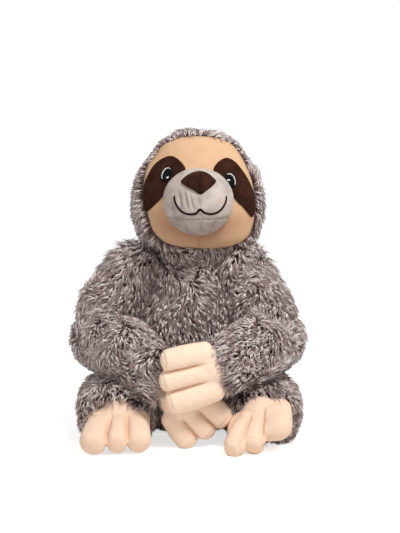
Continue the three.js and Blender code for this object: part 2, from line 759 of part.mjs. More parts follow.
function makeLeg(name) {
  const start = hip(limbSide[name]);
  const joint = ankle(name);
  const legAt = (inset) => swell(legForm(name), inset)
    .subtract(torsoBlock(start, hipRadius, inset))
    .subtract(floorCutter);
  const root = [joint, footRootRadius, fineSides];
  const leg = stuffed(legAt, [snug(...root)], [loose(...root)], furWall);
  add(`${name}_leg_skin`, leg.skin, furFabric);
  add(`${name}_leg_filling`, leg.filling, fillingFibre);

  const foot = makePaw(footForms(name), legForm(name), joint, footRootRadius, ankleAxisShares, ankleSwing);
  add(`${name}_foot_skin`, foot.skin, peachFabric);
  add(`${name}_foot_filling`, foot.filling, fillingFibre);
}

makeTorso();
makeHead();
makeFace();
['left', 'right'].forEach((name) => {
  makeArm(name);
  makeLeg(name);
});

export default sloth;
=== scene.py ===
import math

import bmesh
import bpy
import numpy as np
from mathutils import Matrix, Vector
from mathutils.bvhtree import BVHTree


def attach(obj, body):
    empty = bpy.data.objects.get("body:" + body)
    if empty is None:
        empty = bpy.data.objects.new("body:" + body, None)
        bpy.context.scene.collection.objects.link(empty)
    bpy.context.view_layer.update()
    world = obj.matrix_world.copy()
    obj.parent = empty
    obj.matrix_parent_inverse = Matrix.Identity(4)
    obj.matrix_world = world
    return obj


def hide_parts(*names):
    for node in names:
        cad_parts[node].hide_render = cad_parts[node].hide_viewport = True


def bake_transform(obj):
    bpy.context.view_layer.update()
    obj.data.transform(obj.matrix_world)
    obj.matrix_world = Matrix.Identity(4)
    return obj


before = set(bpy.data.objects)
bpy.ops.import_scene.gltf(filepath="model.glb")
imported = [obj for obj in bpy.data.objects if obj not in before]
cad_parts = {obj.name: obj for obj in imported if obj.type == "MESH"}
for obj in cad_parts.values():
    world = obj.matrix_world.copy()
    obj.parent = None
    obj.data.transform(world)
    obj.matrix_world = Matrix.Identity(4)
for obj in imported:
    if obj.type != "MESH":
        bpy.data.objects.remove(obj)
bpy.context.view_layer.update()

MM = 0.001
FULL_TURN = 2 * math.pi
OUTWARD = {"left": 1, "right": -1}
SEED = 7

# Camera
CAMERA_PLACE = (0.0, -1604.4, 372.7)
AIM_PLACE = (0.0, -20.0, 150.0)
LENS = 144.0
SENSOR_WIDTH = 36.0
SHIFT_X = 0.0275
SHIFT_Y = 0.03875

# Joint places of the CAD frame
NECK = (4.5, 4.0, 180.0)
NECK_BALL_RADIUS = 24.0
HEAD_CENTRE = (9.0, 0.0, 239.0)
SHOULDERS = {"left": (52.0, 0.0, 155.0), "right": (-52.0, 0.0, 155.0)}
ELBOWS = {"left": (84.6, -25.2, 93.5), "right": (-87.7, -12.7, 91.5)}
WRISTS = {"left": (26.6, -109.1, 79.0), "right": (-24.8, -89.5, 64.1)}
HIPS = {"left": (46.0, 0.0, 30.5), "right": (-46.0, 0.0, 30.5)}
ANKLES = {"left": (69.5, -86.8, 26.0), "right": (-68.5, -86.9, 24.2)}
SHOULDER_RADIUS = 27.0
HIP_RADIUS = 31.0

# Fabric bases
BASE_VOXEL = 2.6
PAW_VOXEL = 1.15
BASE_SMOOTHING = 8
PAW_SMOOTHING = 4
BODY_FILL = 0.85
HEAD_FILL = 0.9
NECK_FILL = 0.8
PAW_FILL = 0.9
NECK_HALF_HEIGHT = 8.0
NECK_GIRTHS = [(30, 28), (38, 33), (32, 30)]
NECK_DOMES = (14, 15)
LEG_FULLNESS = 4.5
LEG_FULLNESS_NORMALS = (0.1, 0.9)

# Fabrics: noise and stitches in waves per metre, reliefs in metres, colours from 0 to 255
SPECULAR = 0.25
DULL_SPECULAR = 0.08
SHEEN_ROUGHNESS = 0.45
VELOUR_ROUGHNESS = 0.95
PILE_SCALE = 1400.0
PILE_RELIEF = 0.0001
BRUSHED_SCALE = 90.0
BRUSHED_STOPS = (0.36, 0.5, 0.64)
FOLD_SCALE = 120.0
BACKING_ROUGHNESS = 0.95
BACKING_SHEEN = 0.2
KNIT_SCALE = 700.0
KNIT_RELIEF = 0.0006
KNIT_COLOURS = [(0.3, (70, 50, 50)), (0.7, (112, 88, 88))]
FIBRE_ROUGHNESS = 0.62
FIBRE_SHEEN = 0.15
DARK_FIBRE = [(0.0, (66, 41, 41)), (0.4, (116, 87, 86)), (0.7, (160, 129, 127)), (1.0, (214, 187, 182))]
PALE_FIBRE = [(0.0, (98, 70, 69)), (0.2, (205, 176, 172)), (0.4, (255, 240, 235)), (1.0, (255, 250, 246))]
THREAD_ROUGHNESS = 0.55
THREAD_RELIEF = 0.0002
STITCH_SCALE = 420.0
STITCH_DISTORTION = 0.6
STITCH_SHADES = (0.75, 1.25)
# Each velour's deep colour is painted shade: the colour it is mixed towards in creases, under the muzzle and
# all over the feet
VELOURS = {
    "tan_velour": {"colour": (222, 181, 144), "deep": (176, 130, 102), "nap": (0.97, 1.02), "folds": 3.0},
    "brown_velour": {"colour": (55, 31, 22), "deep": (28, 15, 10), "nap": (0.7, 1.35), "folds": 0.0},
    "grey_velour": {"colour": (198, 184, 175), "deep": (140, 126, 120), "nap": (0.82, 1.1), "folds": 8.0},
    # The jaw's velour is a darker grey than the upper muzzle's; part of that darkness is painted shade under
    # the muzzle
    "grey_velour_jaw": {"colour": (184, 170, 161), "deep": (124, 110, 102), "nap": (0.82, 1.1), "folds": 8.0},
    "peach_velour": {"colour": (250, 223, 199), "deep": (212, 168, 137), "nap": (0.97, 1.01), "folds": 10.0},
}
THREADS = {"black_thread": (12, 9, 12), "white_thread": (250, 250, 252), "seam_thread": (206, 160, 118)}

# Fur
TUFT_SPACING = 1.95
STRANDS_IN_TUFT = 3
TUFT_RADIUS = 0.65
TUFT_TURN = 0.3
STRAND_LENGTH = (10.5, 16.0)
STRAND_RISE = (3.0, 8.0)
STRAND_ROOT_RADIUS = 0.4
STRAND_MIDDLE_RADIUS = 0.42
STRAND_DEPTH = 1.2
STRAND_VARIETY = (0.78, 1.08)
LEAST_SQUARED_REACH = 1.0
TIP_GATHER_SHARE = 0.3
TIP_REACH_SHARE = 0.9
TIP_STRAY = 0.9
BEND_RISE_SHARE = 1.25
BEND_REACH_SHARE = 0.12
MIDDLE_SHARES = (0.25, 0.5, 0.25)
TUFT_SWAY = 1.5
STRAND_SWAY = 0.5
TUFT_SHADES = (0.32, 0.66)
TUFT_SHADE_SHARE = 0.8
STRAND_SHADE_SHARE = 0.2
SWIRL_LENGTH = 40.0
SWIRL_SHARE = 0.9
HEAD_SWIRL_SHARE = 0.7
WAVE_COUNT = 8
WAVE_VARIETY = (0.6, 1.5)
TORSO_SAG = (0, 0, -1.0)
HEAD_SAG = (0, 0.2, -0.35)
HEAD_LAY_BACK = 18.0
ARM_SAG = (0, 0, -0.55)
ARM_LAY_SHARE = 0.7
LEG_SAG = (0, 0, -0.6)
LEG_LAY_SHARE = 0.6
ELBOW_LAY_REACH = 20.0
CUFF_CALM_SHARE = 0.8
LEG_CUFF_NORMALS = (0.1, 0.6)
CUFF_REACH = 16.0
CUFF_LENGTH_SHARES = {"left_arm": 1.3, "right_arm": 1.8, "left_leg": 1.6, "right_leg": 1.6}
COLLAR_HEIGHTS = (150.0, 182.0)
COLLAR_LENGTH_SHARE = 1.55
COLLAR_FRONT_SHARE = 0.5
COLLAR_FRONT_WIDTHS = (28.0, 48.0)
CROWN_LENGTH_SHARE = 0.55
CROWN_WIDTHS = (10.0, 35.0)
CROWN_HEIGHTS = (245.0, 268.0)
STRANDS_IN_PIECE = 19000
FLOOR_EASE = 1.6
FLOOR_CLEARANCE = 0.35
FLOOR_TOUCH_HEIGHT = 2.0
FLOOR_TOUCH_NORMAL = -0.6
SOCKET_MARGIN = 1.5
END_FACE_MARGIN = 1.5
BURIED_DEPTH = 8.0
SLEEVE_OPENING = 13.0
LEG_OPENING = 17.0
NECK_FUR_REACH = 14.0

# Where a strand lies on the baked picture: the least value and the span, across and along
BAKE_ACROSS = (0.01, 0.98)
BAKE_ALONG = (0.02, 0.96)
BAKE_STRAND_WIDTH = 0.004
BAKE_ROOT_CAP = (0.0, 0.02, 0.01)

# Face
FACE_DEPTH = -45.0
PATCH_DEPTH = -55.0
EYE_DEPTH = -60.0
CHIN_DEPTH = -50.0
FACE_FUR_GAP = 0.3
EYE_HEIGHT = 5.2
FACE_MIDDLE = (9.5, 241.0)
FACE_BACK = -2.0
FACE_SPOKES = 120
FACE_OUTLINE = [
    (10, 301.8), (-8, 297.8), (-21, 291.8), (-31, 283), (-39.5, 271), (-43.5, 258), (-44.5, 246),
    (-43.5, 236), (-41, 222), (-35, 203.5), (-22, 191.5), (-6, 186.5), (9, 184.5), (26, 185),
    (43, 188.5), (56, 195), (62.5, 207.5), (64.5, 222), (64, 240), (60.5, 257), (54, 272), (45, 286),
    (30, 297.2),
]
FACE_PROFILE = [
    (0, 2.6), (0.2, 2.6), (0.4, 2.5), (0.6, 2.45), (0.75, 2.4), (0.87, 2.3), (0.94, 2.1), (0.975, 1.6),
    (1.0, -0.6),
]
# Painted shadow on the face panel under the muzzle: the muzzle rings over which it fades, and the drop below
# the muzzle's middle at which it is full
PAINTED_SHADOW_RINGS = (0.95, 1.8)
PAINTED_SHADOW_DROP = -30.0
CHIN_LINE = [(9.2, 186.5), (9.4, 192), (9.6, 200), (9.6, 206)]
CHIN_HALF_WIDTH = 0.5
CHIN_HEIGHT = 2.9
CHIN_STEPS = 24
PATCH_PROFILE = [(0, 4.4), (0.3, 4.4), (0.6, 4.35), (0.8, 4.25), (0.91, 4.05), (0.965, 3.6), (1.0, 2.0)]
PATCH_BACK = 1.2
PATCH_SPOKES = 72
PATCH_OUTLINES = {
    "right": [
        (-15.9, 278.1), (-7.5, 272.5), (-3.3, 264.6), (-11.2, 258), (-18, 250), (-25.2, 239), (-32, 231.5),
        (-41, 224), (-44.2, 229), (-45, 240), (-43.8, 250), (-40.5, 258.5), (-34, 269.3), (-25.2, 276.2),
    ],
    "left": [
        (35.5, 276.4), (27, 271.5), (23.5, 262.8), (31, 256), (37.5, 248.5), (44, 237), (53, 227.5),
        (61.5, 218.5), (64.5, 228), (63.5, 241), (58, 254.5), (51, 265.5), (43.5, 273.6),
    ],
}
PATCH_CENTRES = {"right": (-30.0, 256.0), "left": (47.0, 254.0)}
EYE_CENTRES = {"right": (-21.8, 260.6), "left": (40.4, 254.8)}
EYE_LEANS = {"right": 0.38, "left": -0.3}
EYE_HALF_LENGTH = 8.4
EYE_HALF_WIDTH = 5.5
EYE_PROFILE = [
    (0, EYE_HEIGHT), (0.5, EYE_HEIGHT), (0.8, EYE_HEIGHT - 0.1), (0.94, EYE_HEIGHT - 0.4), (1.0, 3.6),
]
EYE_BACK = 3.4
EYE_SPOKES = 40
RIM_SHARE = 0.8
RIM_TURN = (-0.5, 2.7)
RIM_POINTS = 9
RIM_STEPS = 40
RIM_HALF_WIDTH = 1.15
RIM_HEIGHT = 5.8
RIM_TAPER = 0.5
GLINT_HEIGHTS_IN_EYE = {"right": -2.4, "left": 1.0}
GLINT_INSET = 1.6
GLINT_LINE = [(-1.7, -0.6), (0, 0), (1.7, 1.0)]
GLINT_LEANS = {"right": 0.0, "left": 0.6}
GLINT_HALF_WIDTH = 1.7
GLINT_HEIGHT = 6.0
GLINT_STEPS = 16

# Muzzle
MUZZLE_CENTRE = (9.0, -55.0, 235.0)
MUZZLE_HALF = (34.5, 38.0, 31.5)
MUZZLE_DROP = 1.08
MUZZLE_RINGS = 90
MUZZLE_SIDES = 150
MUZZLE_TURN = 112.0
MUZZLE_FRONT = (0.1, 0.5)
JAW_SEAM_HEIGHT = 219.6
JAW_SEAM_HALF_WIDTH = 1.0
JAW_SEAM_DEPTH = 1.3

# Wrinkles of the muzzle: start and end in the picture, half width and depth
WRINKLE_FULLNESS = 2.0
# Painted shade in the muzzle's wrinkles and jaw seam, per millimetre of their depth
PAINTED_SHADE_IN_MUZZLE = 0.2
WRINKLES = [
    ((-10.0, 247.0), (-7.5, 231.0), 1.5, 0.9),
    ((-4.5, 246.0), (-0.5, 229.0), 1.4, 1.0),
    ((0.5, 244.0), (4.5, 228.5), 1.2, 0.8),
    ((-17.5, 240.0), (-13.0, 221.0), 1.6, 0.8),
    ((9.5, 240.0), (10.0, 231.0), 1.5, 0.7),
    ((8.5, 226.0), (15.5, 220.5), 1.0, 0.7),
    ((-4.5, 223.5), (-14.0, 220.5), 1.0, 0.5),
    ((13.0, 219.0), (10.5, 207.5), 1.2, 0.6),
    ((-6.0, 218.5), (-0.5, 208.5), 1.4, 0.6),
    ((26.0, 219.0), (20.0, 209.5), 1.4, 0.6),
]
WRINKLE_FADE = (0.02, 0.98)

# Nose and mouth
NOSE_DEPTH = -95.0
NOSE_OUTLINE = [
    (-7.8, 256.4), (-3.6, 261.2), (3, 265), (9.8, 266.4), (16, 265.2), (21.8, 261.4), (25.6, 256.8),
    (22.4, 252.4), (17, 248), (10.8, 244.2), (4.2, 248), (-3.4, 252.2),
]
NOSE_MIDDLE = (9.8, 256.0)
NOSE_PUFF = 4.8
NOSE_PROFILE = [
    (0, NOSE_PUFF), (0.25, NOSE_PUFF), (0.5, NOSE_PUFF * 0.95), (0.7, NOSE_PUFF * 0.85),
    (0.85, NOSE_PUFF * 0.68), (0.95, NOSE_PUFF * 0.42), (1.0, 0.0),
]
NOSE_BACK = -1.2
NOSE_SPOKES = 64
NOSE_CREASE_PLACE = 10.0
NOSE_CREASE_DEPTH = 2.0
NOSE_CREASE_HALF_WIDTH = 1.5
# Painted shade in the nose's middle groove, per millimetre of its depth
PAINTED_SHADE_IN_NOSE = 0.25
MOUTH_DEPTH = -92.0
MOUTH_LINE = [
    (-14.8, 243.2), (-13.6, 236.5), (-10.4, 230.6), (-5.6, 226.2), (0.6, 224.6), (6.4, 225.4), (10.6, 229.2),
    (14.8, 226.2), (21, 224.9), (27.4, 226.6), (32.4, 231), (35.4, 237), (36, 242.8),
]
MOUTH_HALF_WIDTH = 1.15
MOUTH_STEPS = 140
THREAD_HEIGHT = 0.9

# Beads of thread, and pieces aimed at their places in the picture
BEAD_SIDES = 10
BEAD_END_STEPS = 3
BEAD_SINK_SHARE = -0.4
BEAD_LEAST_HEIGHT_SHARE = 0.2
BEAD_LEAST_WIDTH = 0.05
AIM_ROUNDS = 3
AIM_SHARE = 0.9
MISSED_DEPTH_SHARE = 0.5

# Hands and feet: as in the CAD model, a palm and three digits. Each digit's root and tip are shares
# of the hand's or foot's length from its joint.
PAW_SIZES = {
    "hand": {"length": 60.0, "root": 14.0, "wide": 27.0, "thick": 11.0, "digit": 9.8},
    "foot": {"length": 57.0, "root": 19.0, "wide": 33.0, "thick": 13.0, "digit": 12.0},
}
ROOT_FULLNESS = 1.075
DIGIT_BLUNTNESS = {"hand": 0.96, "foot": 0.88}
DIGIT_DOMES = {"hand": 0.74, "foot": 0.8}
DIGIT_ROOT_DOME = 0.8
DIGIT_MIDDLE_SHARES = (0.45, 0.55)
PALM_BLUNTNESS = 0.8
PALM_START_SHARES = (0.6, 0.4)
PALM_END_SHARES = (0.4, 0.6)
PALM_DOMES = (0.9, 0.8)
PALM_WIDTHS = {"hand": (0.62, 0.85, 0.92), "foot": (0.88, 0.92, 0.92)}
PALM_THICKNESSES = (1.05, 0.98, 0.8)
DIGIT_GIRTHS = {"hand": (0.97, 1.03, 0.95), "foot": (0.8, 1.0, 0.96)}
DIGIT_SHARES = {
    "left_hand": [
        ((-0.05, -0.18, -0.28), (-0.65, -0.2, -0.48), 1.34),
        ((-0.08, -0.18, 0.03), (-0.77, -0.21, -0.155), 1.2),
        ((-0.2, -0.18, 0.28), (-0.75, -0.2, 0.17), 1.22),
    ],
    "right_hand": [
        ((0.143, -0.12, -0.6), (0.38, -0.16, -0.94), 1.17),
        ((0.39, -0.13, -0.48), (0.69, -0.15, -0.79), 1.12),
        ((0.64, -0.12, -0.31), (0.93, -0.14, -0.58), 1.32),
    ],
    "left_foot": [
        ((-0.23, -0.28, 0.03), (-0.47, -0.77, -0.32), 0.86),
        ((-0.03, -0.25, 0.07), (-0.14, -0.68, -0.26), 0.95),
        ((0.27, -0.18, 0.1), (0.25, -0.56, -0.03), 1.22),
    ],
    "right_foot": [
        ((-0.25, -0.1, 0.02), (-0.38, -0.76, -0.18), 1.15),
        ((0.02, -0.1, 0.03), (0.01, -0.74, -0.18), 0.92),
        ((0.28, -0.1, 0.02), (0.36, -0.66, -0.18), 1.05),
    ],
}
PAW_ACROSS = {
    "left_hand": (-0.15, 0.0, 0.99),
    "right_hand": (0.74, 0.0, 0.67),
    "left_foot": (0.9, 0.2, 0.36),
    "right_foot": (1.0, 0.12, 0.0),
}

# Stitched creases between neighbouring digits
CREASE_HALF_WIDTH = 1.7
CREASE_DEPTH = 4.0
CREASE_START = -0.5
CREASE_REACH = 1.35
CREASE_FADE = (0.0, 0.35)
CREASE_SHARE_OF_THICKNESS = 0.55
# Painted shade: a flat share over the whole of each foot, and more in the creases and along the tip seams
PAINTED_PAW_SHADES = {"hand": 0.0, "foot": 0.24}
PAINTED_CREASE_SHADE = 0.5
PAINTED_CREASE_SHADE_WIDTH = 1.5
PAINTED_TIP_SEAM_SHADE = 0.12
KNUCKLE_SHARE = 0.16
KNUCKLE_DEPTHS = {"hand": 0.0, "foot": 0.8}
KNUCKLE_HALF_WIDTH = 1.8
KNUCKLE_REACH = 1.3
TIP_SEAM_PLACE = 0.35
TIP_SEAM_DEPTH = 0.8
TIP_SEAM_HALF_WIDTH = 0.9

# Floor, surroundings and lights, in metres and watts
FLOOR_RADIUS = 1.6
FLOOR_SIDES = 96
FLOOR_COLOUR = (0.92, 0.89, 0.87, 1)
FLOOR_LIFT = 0.66
FLOOR_FADE = (0.35, 1.2)
WHITE = (1, 1, 1, 1)
SURROUNDING_LIGHT = 0.4
LIGHT_AIM = (0, 0, 0.15)
LIGHTS = {
    "key": {"place": (0.7, -1.0, 1.65), "size": 0.6, "power": 29.0},
    "fill": {"place": (-1.2, -1.3, 0.7), "size": 1.2, "power": 3.5},
}


# Arrays and vectors
def unit(vectors):
    """Vectors of length one, along the last axis."""
    vectors = np.asarray(vectors, float)
    length = np.linalg.norm(vectors, axis=-1, keepdims=True)
    return vectors / np.maximum(length, 1e-9)


def smooth_step(low, high, value):
    share = np.clip((np.asarray(value, float) - low) / (high - low), 0, 1)
    return share * share * (3 - 2 * share)


def curve_through(points, count, closed=False):
    """Evenly spread parameters along a smooth curve through a few points."""
    points = np.asarray(points, float)
    spans = len(points) if closed else len(points) - 1
    steps = np.arange(count) * spans / (count if closed else count - 1)
    span = np.minimum(steps.astype(int), spans - 1)
    share = (steps - span)[:, None]
    if closed:
        before, start, end, after = (points[(span + offset) % len(points)] for offset in (-1, 0, 1, 2))
    else:
        padded = np.vstack([2 * points[0] - points[1], points, 2 * points[-1] - points[-2]])
        before, start, end, after = (padded[span + offset] for offset in (0, 1, 2, 3))
    return 0.5 * (
        2 * start
        + (end - before) * share
        + (2 * before - 5 * start + 4 * end - after) * share**2
        + (3 * start - before - 3 * end + after) * share**3
    )


def wandering(points, wavelength, seed):
    """A smooth random vector at each point, about one long, that changes over a wavelength."""
    rng = np.random.default_rng(seed)
    waves = unit(rng.normal(size=(WAVE_COUNT, 3))) * (FULL_TURN / wavelength)
    waves = waves * rng.uniform(*WAVE_VARIETY, (WAVE_COUNT, 1))
    phases = rng.uniform(0, FULL_TURN, (3, WAVE_COUNT))
    return np.stack([np.sin(points @ waves.T + phase).sum(1) / 2 for phase in phases], 1)


# Meshes
def link_mesh(name, mesh, material):
    if material:
        mesh.materials.append(material)
    mesh.shade_smooth()
    obj = bpy.data.objects.new(name, mesh)
    bpy.context.scene.collection.objects.link(obj)
    return obj


def object_from(name, vertices, faces, material=None):
    """An object from points in millimetres and faces of any size."""
    mesh = bpy.data.meshes.new(name)
    mesh.from_pydata((np.asarray(vertices, float) * MM).tolist(), [], [list(face) for face in faces])
    mesh.update()
    return link_mesh(name, mesh, material)


def triples(items, kind, numbers):
    """One kind of value of every item, three numbers to a row."""
    found = np.empty(len(items) * 3, numbers)
    items.foreach_get(kind, found)
    return found.reshape(-1, 3)


def points_of(obj):
    return triples(obj.data.vertices, "co", np.float32).astype(float) / MM


def set_points(obj, points):
    obj.data.vertices.foreach_set("co", (points * MM).astype(np.float32).ravel())
    obj.data.update()


def normals_of(obj):
    return triples(obj.data.vertices, "normal", np.float32).astype(float)


def mark_painted_shade(obj, values):
    """Stores painted shade on each point, from 0 to 1, which darkens the fabric's colour towards its deep
    colour.
    """
    attribute = obj.data.attributes.new("painted_shade", "FLOAT", "POINT")
    attribute.data.foreach_set("value", np.clip(values, 0, 1).astype(np.float32))


def triangles_of(obj):
    obj.data.calc_loop_triangles()
    return triples(obj.data.loop_triangles, "vertices", np.int32)


def tree_of(obj):
    """A search tree of the surface, in millimetres."""
    return BVHTree.FromPolygons(points_of(obj).tolist(), triangles_of(obj).tolist())


def depth_inside(tree, points):
    """How far each point lies inside a closed surface. It is negative outside."""
    depths = np.empty(len(points))
    for index, point in enumerate(points):
        nearest, normal, _, distance = tree.find_nearest(Vector(point))
        inside = (Vector(point) - nearest).dot(normal) < 0
        depths[index] = distance if inside else -distance
    return depths


def keep_largest(mesh):
    """Removes every island of the mesh but the one with most points."""
    shape = bmesh.new()
    shape.from_mesh(mesh)
    left = set(shape.verts)
    islands = []
    while left:
        first = left.pop()
        island = {first}
        front = [first]
        while front:
            for edge in front.pop().link_edges:
                for vertex in edge.verts:
                    if vertex in left:
                        left.remove(vertex)
                        island.add(vertex)
                        front.append(vertex)
        islands.append(island)
    islands.sort(key=len)
    doomed = [vertex for island in islands[:-1] for vertex in island]
    bmesh.ops.delete(shape, geom=doomed, context="VERTS")
    shape.to_mesh(mesh)
    shape.free()


def merged(name, sources, voxel, smoothing, material):
    """One closed smooth surface round several overlapping or touching meshes."""
    vertices = []
    faces = []
    for source in sources:
        start = len(vertices)
        vertices.extend(points_of(source).tolist())
        faces.extend([[start + corner for corner in face.vertices] for face in source.data.polygons])
    rough = object_from(name + "_rough", vertices, faces)
    remesh = rough.modifiers.new("Remesh", "REMESH")
    remesh.mode = "VOXEL"
    remesh.voxel_size = voxel * MM
    soften = rough.modifiers.new("Smooth", "SMOOTH")
    soften.iterations = smoothing
    depsgraph = bpy.context.evaluated_depsgraph_get()
    mesh = bpy.data.meshes.new_from_object(rough.evaluated_get(depsgraph))
    mesh.name = name
    mesh.materials.clear()
    bpy.data.objects.remove(rough)
    keep_largest(mesh)
    return link_mesh(name, mesh, material)


# Materials
def linear(red, green, blue):
    """A colour written as it is seen, from 0 to 255, as the shader reads it."""
    shares = [value / 255 for value in (red, green, blue)]
    return tuple(s / 12.92 if s <= 0.04045 else ((s + 0.055) / 1.055) ** 2.4 for s in shares) + (1.0,)


def shaded(colour, factor):
    return tuple(min(1.0, share * factor) for share in colour[:3]) + (1.0,)


def coloured(stops):
    return [(position, linear(*colour)) for position, colour in stops]


def new_material(name, roughness, sheen=0.0):
    material = bpy.data.materials.new(name)
    material.use_nodes = True
    shader = material.node_tree.nodes["Principled BSDF"]
    shader.inputs["Roughness"].default_value = roughness
    shader.inputs["Specular IOR Level"].default_value = SPECULAR
    shader.inputs["Sheen Weight"].default_value = sheen
    shader.inputs["Sheen Roughness"].default_value = SHEEN_ROUGHNESS
    return material, shader


def add_node(material, kind, **settings):
    node = material.node_tree.nodes.new(kind)
    for name, value in settings.items():
        setattr(node, name, value)
    return node


def connect(material, source, target):
    material.node_tree.links.new(source, target)


def noise(material, coordinates, scale, detail=2.0):
    node = add_node(material, "ShaderNodeTexNoise")
    node.inputs["Scale"].default_value = scale
    node.inputs["Detail"].default_value = detail
    connect(material, coordinates, node.inputs["Vector"])
    return node.outputs["Fac"]


def mixed_colours(material, factor, first, second):
    """A mix whose colour sockets are found by kind, because all kinds share their names."""
    node = add_node(material, "ShaderNodeMix", data_type="RGBA")
    factors = [socket for socket in node.inputs if socket.name == "Factor" and socket.type == "VALUE"]
    connect(material, factor, factors[0])
    ends = [socket for socket in node.inputs if socket.type == "RGBA"]
    for value, socket in zip((first, second), ends):
        if isinstance(value, tuple):
            socket.default_value = value
        else:
            connect(material, value, socket)
    return [socket for socket in node.outputs if socket.type == "RGBA"][0]


def ramp(material, value, stops):
    node = add_node(material, "ShaderNodeValToRGB")
    elements = node.color_ramp.elements
    for position, _ in stops[2:]:
        elements.new(position)
    for element, (position, colour) in zip(elements, stops):
        element.position = position
        element.color = colour
    connect(material, value, node.inputs["Fac"])
    return node.outputs["Color"]


def bump(material, shader, height, distance):
    node = add_node(material, "ShaderNodeBump")
    node.inputs["Strength"].default_value = 1.0
    node.inputs["Distance"].default_value = distance
    connect(material, height, node.inputs["Height"])
    connect(material, node.outputs["Normal"], shader.inputs["Normal"])


def velour(name, colour, deep, nap, folds):
    """Short-pile fabric, lighter or darker where its nap was brushed, and darkened towards its deep colour by
    painted shade where the mesh marks it.
    """
    colour = linear(*colour)
    material, shader = new_material(name, VELOUR_ROUGHNESS)
    shader.inputs["Specular IOR Level"].default_value = DULL_SPECULAR
    place = add_node(material, "ShaderNodeTexCoord").outputs["Object"]
    pile = noise(material, place, PILE_SCALE)
    brushed = noise(material, place, BRUSHED_SCALE, detail=5.0)
    shades = (shaded(colour, nap[0]), colour, shaded(colour, nap[1]))
    # Painted shade: the mesh's marked share mixes the nap colour towards the deep colour
    painted_shade = add_node(material, "ShaderNodeAttribute", attribute_name="painted_shade")
    nap_colour = ramp(material, brushed, list(zip(BRUSHED_STOPS, shades)))
    colours = mixed_colours(material, painted_shade.outputs["Fac"], nap_colour, linear(*deep))
    connect(material, colours, shader.inputs["Base Color"])
    fold = noise(material, place, FOLD_SCALE, detail=1.0)
    relief = add_node(material, "ShaderNodeMath", operation="MULTIPLY_ADD")
    connect(material, fold, relief.inputs[0])
    relief.inputs[1].default_value = folds
    connect(material, pile, relief.inputs[2])
    bump(material, shader, relief.outputs[0], PILE_RELIEF)
    return material


def backing_cloth():
    """The dark knitted backing between the fur's roots."""
    material, shader = new_material("fur_backing", BACKING_ROUGHNESS, BACKING_SHEEN)
    place = add_node(material, "ShaderNodeTexCoord").outputs["Object"]
    knit = noise(material, place, KNIT_SCALE)
    connect(material, ramp(material, knit, coloured(KNIT_COLOURS)), shader.inputs["Base Color"])
    bump(material, shader, knit, KNIT_RELIEF)
    return material


def fur_fibre():
    """Fibre that is dark at its root and pale at its tip, by its own shade and place along the strand."""
    material, shader = new_material("fur_fibre", FIBRE_ROUGHNESS, FIBRE_SHEEN)
    own = add_node(material, "ShaderNodeAttribute", attribute_name="fibre")
    parts = add_node(material, "ShaderNodeSeparateXYZ")
    connect(material, own.outputs["Vector"], parts.inputs["Vector"])
    dark, pale = (ramp(material, parts.outputs["X"], coloured(stops)) for stops in (DARK_FIBRE, PALE_FIBRE))
    connect(material, mixed_colours(material, parts.outputs["Y"], dark, pale), shader.inputs["Base Color"])
    return material


def satin_thread(name, colour):
    """Embroidery thread: fine parallel stitches that shine a little."""
    material, shader = new_material(name, THREAD_ROUGHNESS)
    shader.inputs["Specular IOR Level"].default_value = DULL_SPECULAR
    place = add_node(material, "ShaderNodeTexCoord").outputs["Object"]
    wave = add_node(material, "ShaderNodeTexWave", wave_type="BANDS", bands_direction="DIAGONAL")
    wave.inputs["Scale"].default_value = STITCH_SCALE
    wave.inputs["Distortion"].default_value = STITCH_DISTORTION
    connect(material, place, wave.inputs["Vector"])
    dark, pale = (shaded(linear(*colour), shade) for shade in STITCH_SHADES)
    colours = mixed_colours(material, wave.outputs["Fac"], dark, pale)
    connect(material, colours, shader.inputs["Base Color"])
    bump(material, shader, wave.outputs["Fac"], THREAD_RELIEF)
    return material


fur_backing = backing_cloth()
fibre = fur_fibre()
velours = {name: velour(name, **look) for name, look in VELOURS.items()}
threads = {name: satin_thread(name, colour) for name, colour in THREADS.items()}


# Forms
def stuffed_form(path, girths, across, domes, bluntness=1.0, sides=36, rings=12, dome_rings=8):
    """The points and faces of a form that swells and tapers along a path, with a dome at each end.

    A bluntness under one squares its section and its ends."""
    steps = 64
    spine = curve_through(path, steps + 1)
    girth_line = curve_through(girths, steps + 1)
    dome = []
    for step in range(1, dome_rings + 1):
        angle = step / dome_rings * math.pi / 2
        dome.append((math.sin(angle) ** bluntness, max(math.cos(angle), 0) ** bluntness))
    stations = [(0.0, -domes[0] * rise, fullness) for rise, fullness in reversed(dome)]
    stations += [(ring / rings, 0.0, 1.0) for ring in range(rings + 1)]
    stations += [(1.0, domes[1] * rise, fullness) for rise, fullness in dome]
    vertices = []
    last = len(stations) - 1
    for index, (share, push, fullness) in enumerate(stations):
        at = share * steps
        low = min(int(at), steps - 1)
        centre = spine[low] + (spine[low + 1] - spine[low]) * (at - low)
        girth = girth_line[low] + (girth_line[low + 1] - girth_line[low]) * (at - low)
        tangent = unit(spine[low + 1] - spine[low])
        wide = unit(np.asarray(across) - tangent * np.dot(across, tangent))
        deep = np.cross(tangent, wide)
        centre = centre + tangent * push
        if index in (0, last):
            vertices.append(centre)
            continue
        for side in range(sides):
            angle = FULL_TURN * side / sides
            over, through = (
                math.copysign(abs(turned) ** bluntness, turned)
                for turned in (math.cos(angle), math.sin(angle)))
            vertices.append(centre + (wide * girth[0] * over + deep * girth[1] * through) * fullness)
    ring_count = last - 1
    tip = len(vertices) - 1
    faces = []
    for side in range(sides):
        following = (side + 1) % sides
        faces.append((0, 1 + following, 1 + side))
        for ring in range(ring_count - 1):
            start = 1 + ring * sides
            faces.append((start + side, start + following, start + sides + following, start + sides + side))
        start = 1 + (ring_count - 1) * sides
        faces.append((start + side, start + following, tip))
    return np.array(vertices), faces


